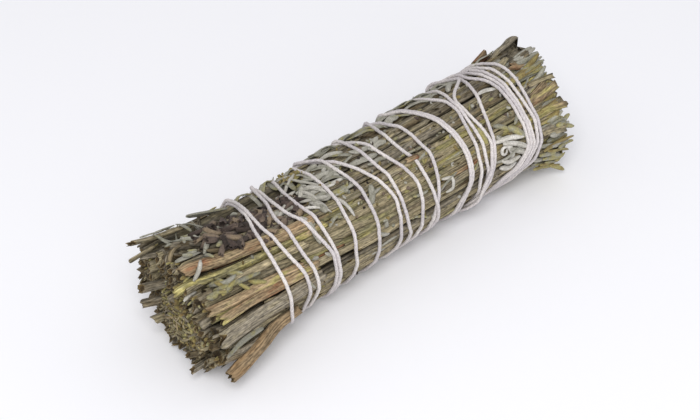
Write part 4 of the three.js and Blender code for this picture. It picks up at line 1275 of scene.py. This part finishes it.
# %% Fill the tuft
dice = np.random.default_rng(50)
tuft_leaves, tuft_strips = [], []
for number in range(300):
    angle, edge = way_out(dice, 48)
    rim = number < 170
    away = edge * (dice.uniform(0.92, 1.0) if rim else math.sqrt(dice.uniform(0.0, 0.8)))
    x = dice.uniform(42.5, 48) if rim else dice.uniform(48, 51)
    length = float(far_cut((angle + 180) % 360 - 180)) + dice.uniform(-1.6, 1.4) - x
    if 306 < angle < 348 and away > 7:  # leaves room for the curl of bark
        length = min(length, 50.8 - x)
    if length < 2:
        continue
    flare = dice.uniform(0, 12) if rim else dice.uniform(-10, 14)
    wood = number % 5 >= 3
    half_width = dice.uniform(0.6, 1.35) if wood else dice.uniform(0.5, 1.0)
    shade = dice.uniform(0.8, 1.12)
    tones = [(0.16, 0.6), (0.16, 0.5), (0.82, 0.92)] if wood else [(0.06, 0.26), (0.38, 0.6)]
    tone = dice.choice([dice.uniform(*limits) for limits in tones])
    parts = tuft_strips if wood else tuft_leaves
    parts.append(end_sliver(x, away, angle, 1, length, flare, dice, half_width, tone, shade, wood))
rim_dice = np.random.default_rng(51)
for _ in range(80):  # broad leaves side by side over the front of the rim
    x, angle = rim_dice.uniform(44, 48.5), rim_dice.uniform(-12, 128)
    length = float(far_cut(angle)) + rim_dice.uniform(-1.0, 0.8) - x
    half_width, tone = rim_dice.uniform(0.8, 1.4), rim_dice.choice([0.12, 0.2, 0.28, 0.4, 0.5])
    shade, flare = rim_dice.uniform(0.85, 1.12), rim_dice.uniform(0, 8)
    away = float(surface(x, angle)) * rim_dice.uniform(0.92, 0.99)
    tuft_leaves.append(end_sliver(x, away, angle, 1, length, flare, rim_dice, half_width, tone, shade))
print("tuft:", len(tuft_leaves), "leaves and", len(tuft_strips), "strips")

# %% The pieces that give the far end its outline
# Places from foot to tip, half width, tone, shade and the tip's lift.
FAR_LEAVES = [
    ([[52.0, -14], [55, -13], [57.8, -13]], 1.0, 0.6, 1.05, 1.0),
    ([[51.0, -9], [54.4, -8], [57.6, -8]], 1.0, 0.7, 1.05, 1.0),
    ([[50.5, -3], [54, -2], [57.2, -1]], 1.0, 0.52, 1.02, 0.9),
    ([[50.5, 2], [54, 4], [56.8, 6]], 0.95, 0.62, 1.0, 0.7),
    ([[50.0, 6], [53, 9], [56.0, 12]], 0.9, 0.55, 1.0, 0.5),
    ([[49.0, 76], [52, 79], [55.4, 79]], 0.8, 0.36, 1.1, 0.6),
    ([[51.4, 84], [53.6, 87], [55.8, 92]], 0.6, 0.38, 1.05, 0.7),
    ([[49.0, 98], [52, 103], [55.6, 108]], 0.8, 0.4, 1.0, 0.8),
    ([[49.0, 113], [51, 119], [53.4, 124]], 0.8, 0.26, 1.05, 2.6),
    ([[48.2, 120], [50.4, 124], [52.4, 127]], 0.8, 0.28, 1.05, 4.2),
    ([[47.0, 120], [49.6, 124], [52.0, 126]], 0.7, 0.24, 0.95, 3.2),
    ([[46.0, 122], [48.6, 125], [51.0, 127]], 0.8, 0.3, 1.0, 2.8),
    ([[45.0, 121], [47, 124], [49.6, 127]], 0.7, 0.2, 0.95, 2.2),
    ([[44.0, 122], [46, 125], [47.6, 128]], 0.8, 0.34, 1.0, 1.6),
    ([[47.0, 106], [50, 112], [53.2, 118]], 0.8, 0.3, 1.0, 1.6),
    ([[46.0, 112], [49, 117], [52.4, 121]], 0.8, 0.44, 1.0, 1.8),
    ([[46.0, 98], [50, 104], [53.6, 112]], 0.7, 0.22, 1.0, 1.0),
]
for _ in range(14):
    x, angle = dice.uniform(43, 49), dice.uniform(96, 124)
    places = [[x, angle], [x + 2.5, angle + 3], [x + 5, angle + dice.uniform(2, 8)]]
    half_width, tone = dice.uniform(0.5, 0.8), dice.uniform(0.14, 0.5)
    FAR_LEAVES.append((places, half_width, tone, 1.0, dice.uniform(0.4, 2.2)))
for places, half_width, tone, shade, tip in FAR_LEAVES:
    line = lay(places, half_width, 0.3, stiff=8, lift=(0.0, tip))
    roll = dice.uniform(-0.4, 0.4)
    tuft_leaves.append(leaf(line, half_width, dice, tone, shade, sides=12, thick=0.26, roll=roll))
# A red-brown stem on the back edge, and a pale strip on top.
line = around(np.linspace(45.5, 49.6, 9), np.linspace(12.9, 14.2, 9), np.linspace(-46, -44, 9))
tuft_strips.append(rod(line, 1.2, dice, 16, 0.97, 0.9))
line = lay([[48.8, -7], [50.6, -2], [52.4, 3]], 1.1, 0.3, lift=(0.0, 0.2), sink=0.2)
tuft_strips.append(strip(line, 1.2, 0.35, dice, 0.93, 1.05, sides=18))
print("leaves of the outline:", len(FAR_LEAVES))

# %% [markdown]
# ### A curl of bark
# At the back of the far end a piece of bark has dried into an open tube. Its section is an arc with an
# outer and an inner side, swept along a short line. A rolled plane with a solidify modifier would also
# do, but the sweep already gives the grain, the torn rim and the marks.

# %% Bark curled into an open tube
CURL_LEAN = 80.0  # degrees: the opening looks towards the front
ARC_POINTS = 18


def bark_curl(line, radius, thick, open_angle, lean, dice, tone, shade):
    """lean turns the opening, in degrees."""
    arc = np.radians(np.linspace(-180 + open_angle / 2, 180 - open_angle / 2, ARC_POINTS) + lean)
    along = distance_along(line)
    reach = radius * (1 + 0.08 * wander(along, 3, dice))[:, None] + np.zeros(ARC_POINTS)
    reach = reach * (1 + 0.05 * dice.uniform(-1, 1, ARC_POINTS))
    outer_side = np.stack([reach * np.sin(arc), -reach * np.cos(arc)])
    inner_side = outer_side * (1 - thick / radius)
    across, high = np.concatenate([outer_side, inner_side[..., ::-1]], -1)
    torn = dice.uniform(-0.4, 0.4, ARC_POINTS)
    push = np.exp(-(along[-1] - along) / 1.5)[:, None] * np.concatenate([torn, torn[::-1]])
    # Painted shade: the inner side of the tube is a little darker.
    shades = np.repeat([shade, 0.95 * shade], ARC_POINTS) + np.zeros_like(across)
    return sweep(line, across, high, tone, shades, push=push, lids=())


line = around(np.linspace(49.5, 58.6, 14), np.linspace(11.6, 12.4, 14), np.linspace(-37, -38, 14))
curl_width = np.interp(np.linspace(0, 1, 14), [0, 0.3, 0.7, 0.9, 1], [1.6, 2.4, 2.8, 2.9, 2.6])[:, None]
tuft_strips.append(bark_curl(line, curl_width, 0.5, 80, CURL_LEAN, dice, 0.26, 1.05))
make_piece("far_tuft_leaves", tuft_leaves, felted_leaf)
make_piece("far_tuft_strips", tuft_strips, dried_stem)
print("tuft pieces:", len(tuft_leaves) + len(tuft_strips))

# %% [markdown]
# ## The near face
# The near end is one rough face of cut stems with torn leaves jammed between them. Short stems and
# leaves start inside the bunch and end a little before or past the slanting cut, which breaks up the
# face as the shears did. A few stubs stick further out, each in its own place.

# %% Stems and leaves in the near face
near_leaves, near_strips = [], []
for number in range(260):
    angle, edge = way_out(dice, -47)
    away = edge * math.sqrt(dice.uniform(0.0, 0.9))
    cut_x = float(near_cut_at(away, angle))
    x = cut_x + dice.uniform(1.0, 3.0)
    length = x - cut_x + dice.uniform(-0.9, 0.7)
    flare = dice.uniform(-20, 12)
    if number % 2:
        tone, half_width = dice.uniform(0.05, 0.4), dice.uniform(0.3, 0.7)
        near_leaves.append(end_sliver(x, away, angle, -1, length, flare, dice, half_width, tone, 1.0))
    else:
        radius = dice.uniform(0.4, 1.0)
        xs = np.linspace(x + 1, x - length, 8)
        aways = away * np.linspace(1.0, dice.uniform(0.94, 1.02), 8)
        line = kept_above(around(xs, aways, angle), radius)
        tone, shade = dice.uniform(0.0, 0.45), dice.uniform(0.8, 1.2)
        near_strips.append(rod(line, radius, dice, 10, tone, shade, ragged=0.5, cracks=0, up=UPRIGHT))
print("in the near face:", len(near_leaves), "leaves and", len(near_strips), "stems")

# %% Stubs that stick out of it
# y and z of the foot, the reach of the tip in x, y and z, radius and tone.
NEAR_STUBS = [
    (7.7, 14.3, -3.8, 1.4, 0.0, 1.1, 0.26),
    (8.3, 9.1, -3.4, 1.5, 0.0, 1.05, 0.2),
    (6.2, 6.2, -2.8, 0.5, 0.0, 1.1, 0.3),
    (-7.5, 6.4, -2.6, 0.2, 1.2, 0.7, 0.16),
    (-8.6, 4.0, -2.6, 0.0, 0.0, 0.8, 0.2),
    (6.4, 22.6, -0.6, 0.2, 0.2, 1.3, 0.5),
    (9.3, 18.1, -1.2, 0.4, 0.0, 1.2, 0.3),
    (9.0, 21.5, -2.6, 0.8, 0.6, 0.6, 0.3),
]
for y, z, dx, dy, dz, radius, tone in NEAR_STUBS:
    foot = np.array([near_cut(y) + 3, y - dy, z - dz])
    tip = np.array([near_cut(y) + dx, y + dy, z + dz])
    line = foot + (tip - foot) * np.linspace(0, 1, 10)[:, None]
    near_strips.append(rod(line, radius, dice, 16, tone, 1.05, ragged=0.6, cracks=1, up=UPRIGHT))
make_piece("near_face_leaves", near_leaves, felted_leaf)
make_piece("near_face_strips", near_strips, dried_stem)
print("near face pieces:", len(near_leaves) + len(near_strips))

# %% [markdown]
# ## Flower cups
# The dark hollow near the first turns of thread is full of dried flower cups: ribbed, purple-brown
# tubes with a torn mouth. A cup is a sweep along a short line, with five ribs round it, a narrow foot
# and lids sunk deep enough to look hollow.

# %% Flower cups
CUP_PROFILE = ((0, 0.35), (0.2, 0.75), (0.6, 1.0), (0.9, 0.95), (1, 1.05))  # width from foot to mouth
# The lids' cut marks also darken them in the flower material: painted shade inside the cups.
CUP_LIDS = ((0.8, 0.1, 0.5), (0.6, 0.9, 1.0))


def flower_cup(line, radius, dice, tone, sides=14):
    """One dried cup with its foot at the line's start."""
    share = np.linspace(0, 1, len(line))[:, None]
    turn = once_round(sides)
    reach = radius * np.interp(share, *zip(*CUP_PROFILE)) * (1 + 0.2 * np.cos(5 * turn))
    push = np.exp(-(1 - share) * 6) * dice.uniform(-0.4, 0.4, sides)
    across, high = reach * np.cos(turn), dice.uniform(0.6, 0.95) * reach * np.sin(turn)
    return sweep(line, across, high, tone, push=push, lids=CUP_LIDS)


dice = np.random.default_rng(60)
cups = []
for _ in range(76):
    x, angle = dice.uniform(-41, -16), dice.uniform(-30, 17)
    heading = dice.uniform(-60, 60) + dice.choice([0, 180])
    length, bend, lift = dice.uniform(2.6, 4.6), dice.uniform(-40, 40), dice.uniform(0, 0.8)
    line = leaf_line(x, angle, heading, length, bend, lift, 0.1)
    cups.append(flower_cup(line, dice.uniform(0.5, 0.8), dice, dice.uniform(0.05, 0.9)))
make_piece("flower_cups", cups, dried_flower)
print("cups:", len(cups))

# %% [markdown]
# ## Crumbs
# Crumbs of leaf and flower fill the gaps, as they do in anything dried and pressed. A crumb is a
# squashed lump of a few points. It looks for the lowest of three random spots, the way a real crumb
# falls into a groove. More lie in the hollow, and a crushed, moss-like mass sits low on the near face.

# %% One crumb
CRUMB_SIDES, CRUMB_RINGS = 6, 5


def crumb(spot, size, dice, tone, shade):
    """A squashed lump with an uneven skin."""
    axis = unit(dice.uniform(-1, 1, 3))
    line = spot + axis * np.linspace(-size, size, CRUMB_RINGS)[:, None] * dice.uniform(0.8, 1.8)
    share = np.linspace(-1, 1, CRUMB_RINGS)[:, None]
    bumps = dice.uniform(0.6, 1.1, (CRUMB_RINGS, CRUMB_SIDES))
    reach = size * np.sqrt(1.06 - share**2) * bumps
    turn = once_round(CRUMB_SIDES)
    up = unit(np.cross(axis, [0.3, 0.5, 0.8]))  # any direction that isn't the axis's own
    return sweep(line, reach * np.cos(turn), 0.55 * reach * np.sin(turn), tone, shade, up=up, lids=())


leaf_crumbs, flower_crumbs = [], []
print("points of a crumb:", CRUMB_SIDES * CRUMB_RINGS + 2)

# %% Crumbs in the gaps
dice = np.random.default_rng(61)
for number in range(900):
    xs, angles = dice.uniform(-49, 50, 3), dice.uniform(0, 360, 3)
    if number < 360:  # more in the hollow
        xs, angles = dice.uniform(-42, -16, 3), dice.uniform(-48, 24, 3)
    depth = surface(xs, angles)
    low = int(np.argmin(depth))
    if depth[low] < INSIDE:
        continue
    spot = around(xs[low], depth[low] + 0.1, angles[low])
    spot[2] = max(spot[2], 0.6)
    size, tone = dice.uniform(0.25, 0.6), dice.uniform(0.0, 0.9)
    if number % 3 and number > 260:
        leaf_crumbs.append(crumb(spot, size, dice, tone, dice.uniform(0.7, 1.05)))
    else:
        flower_crumbs.append(crumb(spot, size, dice, tone, 1.0))
print("crumbs of leaf and flower:", len(leaf_crumbs), len(flower_crumbs))

# %% The crushed mass on the near face
MOSS_Y, MOSS_Z, MOSS_WIDE, MOSS_HIGH = -1.5, 9.3, 8.0, 5.4  # its middle and half its size, in mm
MOSS_DOME = 1.9  # mm that its middle stands out


def moss_spot(dice):
    """A random y and z on the mass, and how far it stands out there."""
    reach, turn = math.sqrt(dice.uniform()), dice.uniform(0, AROUND)
    y, z = MOSS_Y + MOSS_WIDE * reach * math.cos(turn), MOSS_Z + MOSS_HIGH * reach * math.sin(turn)
    return y, z, MOSS_DOME * (1 - reach**2)


for _ in range(900):
    y, z, dome = moss_spot(dice)
    spot = np.array([near_cut(y) + 0.5 - dome * dice.uniform(0.2, 1.0), y, max(0.9, z)])
    size, tone = 0.15 + 0.7 * dice.uniform() ** 2, dice.uniform(0.0, 0.34)
    leaf_crumbs.append(crumb(spot, size, dice, tone, dice.uniform(0.6, 1.5)))
moss_twigs = []
for _ in range(90):  # short fibres across it
    y, z, dome = moss_spot(dice)
    spot = np.array([near_cut(y) + 0.2 - dome, y, max(z, 1.5)])
    heading = unit(dice.uniform(-1, 1, 3) * [0.6, 1.0, 0.8])
    line = spot + heading * np.linspace(-1, 1, 6)[:, None] * dice.uniform(0.7, 1.8)
    line = kept_above(line, TORN_CLEAR)
    radius, tone, shade = dice.uniform(0.13, 0.3), dice.uniform(0.1, 0.85), dice.uniform(0.7, 1.1)
    outwards = np.array([-1.0, 0.1, 0.2])
    moss_twigs.append(rod(line, radius, dice, 6, tone, shade, ragged=0.1, cracks=0, up=outwards))
make_piece("moss_twigs", moss_twigs, dried_stem)
print("fibres across the mass:", len(moss_twigs))

# %% A clump on the back edge, beside the first crossing turns
for _ in range(150):
    x, angle = dice.uniform(-16.5, -11), dice.uniform(-48, -20)
    height = float(surface(x, angle)) + dice.uniform(-0.3, 0.5)
    tone, size, shade = dice.uniform(0.08, 0.34), dice.uniform(0.2, 0.5), dice.uniform(0.7, 1.15)
    leaf_crumbs.append(crumb(around(x, height, angle), size, dice, tone, shade))
make_piece("leaf_crumbs", leaf_crumbs, felted_leaf)
make_piece("flower_crumbs", flower_crumbs, dried_flower)
print("crumbs in all:", len(leaf_crumbs) + len(flower_crumbs))

# %% [markdown]
# ## One strip over the thread
# Where the binder was careless, a short strip of stem slipped over a turn instead of under it. It is
# laid like any strip, but its middle is raised to clear the thread.

# %% The strip that slipped
OVER_X = 10.5  # mm, where it crosses the turn
over_x, over_angle = np.linspace(8.7, 11.9, 9), np.linspace(30.5, 32.5, 9)
beside = (route_angle % 360 > 25) & (route_angle % 360 < 38) & (np.abs(route_x - OVER_X) < 1.5)
top = route_away[beside].max() + THREAD_RADIUS + 0.2
over_away = np.maximum(surface(over_x, over_angle) + 0.2, top - 0.25 * np.abs(over_x - OVER_X) ** 1.5)
over_line = around(over_x, over_away, over_angle)
over = strip(over_line, 0.55, 0.22, np.random.default_rng(62), 0.96, 0.95, torn=0.5)
make_piece("strip_over_thread", [over], dried_stem)
print("it clears the thread at", round(float(top), 1), "mm from the axis")

# %% [markdown]
# ## Floor, light and camera
# The stick lies on a plain pale floor under one large soft lamp, a little to the left and in front,
# with a weaker one low at the front and an even pale world around. Together they are set so that a
# colour renders about as it is written. The camera looks down on the stick from the near end's front
# corner, from far enough away that the far end looks hardly smaller than the near one.

# %% Floor
FLOOR_REACH = 3.0  # metres to each side, far past the edge of the view
NEARLY_WHITE = linear("#fcfcff")
material, tree = new_material("pale_floor")
floor_shader = add(tree, "ShaderNodeBsdfPrincipled", {
    "Base Color": NEARLY_WHITE,
    "Roughness": 1.0,
    "Specular IOR Level": 0.0,
})
add(tree, "ShaderNodeOutputMaterial", {0: floor_shader.outputs[0]})
corners = [(FLOOR_REACH * x, FLOOR_REACH * y, 0) for x, y in ((-1, -1), (1, -1), (1, 1), (-1, 1))]
floor_mesh = bpy.data.meshes.new("floor")
floor_mesh.from_pydata(corners, [], [(0, 1, 2, 3)])
floor_mesh.materials.append(material)
floor = bpy.data.objects.new("floor", floor_mesh)
bpy.context.scene.collection.objects.link(floor)
print("floor:", 2 * FLOOR_REACH, "m across")

# %% World and lamps
LAMP_DISTANCE = 0.8  # metres
SKY_LEVEL = 0.62  # with the lamps, it makes a colour render about as it is written
world = bpy.data.worlds.new("soft_room")
bpy.context.scene.world = world
world.use_nodes = True
world.node_tree.nodes.clear()
sky = add(world.node_tree, "ShaderNodeBackground", {0: NEARLY_WHITE, 1: SKY_LEVEL})
add(world.node_tree, "ShaderNodeOutputWorld", {0: sky.outputs[0]})


def put(thing, place, backwards):
    """Places a lamp or camera, which looks the opposite way from `backwards`."""
    bpy.context.scene.collection.objects.link(thing)
    thing.location = place
    thing.rotation_mode = "QUATERNION"
    thing.rotation_quaternion = Vector(backwards).to_track_quat("Z", "Y")


for name, size, watts, towards in (
    ("soft_lamp", 0.45, 2.95, (-0.5, -0.5, 1.0)),
    ("low_fill", 0.6, 0.9, (-0.5, -1.0, 0.35)),
):
    lamp = bpy.data.lights.new(name, "AREA")
    lamp.shape, lamp.size, lamp.energy = "DISK", size, watts
    towards = unit(np.array(towards))
    put(bpy.data.objects.new(name, lamp), towards * LAMP_DISTANCE, towards)
    print(name, "gives", watts, "W from a disk", size, "m across")

# %% Camera
AZIMUTH, ELEVATION, DISTANCE = -42.0, 41.7, 385.0  # degrees, degrees and mm
LENS, SENSOR = 89.07, 36.0  # mm
a, e = math.radians(AZIMUTH), math.radians(ELEVATION)
back = np.array([math.sin(a) * math.cos(e), -math.cos(a) * math.cos(e), math.sin(e)])
right = np.array([math.cos(a), math.sin(a), 0.0])
upward = np.cross(back, right)
# It aims at the stick's waist, moved a little so that the whole stick sits well in the view.
aim = np.array([-3.6, 0.0, 13.1]) + 0.53 * right - 0.42 * upward
camera_data = bpy.data.cameras.new("camera")
camera_data.sensor_width, camera_data.lens = SENSOR, LENS
camera_data.clip_start, camera_data.clip_end = 0.01, 20.0
camera = bpy.data.objects.new("camera", camera_data)
put(camera, (aim + back * DISTANCE) * MM, back)
bpy.context.scene.camera = camera
bpy.context.scene.view_settings.view_transform = "Standard"
print("camera at, mm:", (aim + back * DISTANCE).round(1))

# %% [markdown]
# ## Sizes
# The count of triangles is printed, in all and for the piece that has the most.

# %% Sizes
print("triangles:", sum(made.values()), "most in a piece:", max(made.items(), key=lambda item: item[1]))
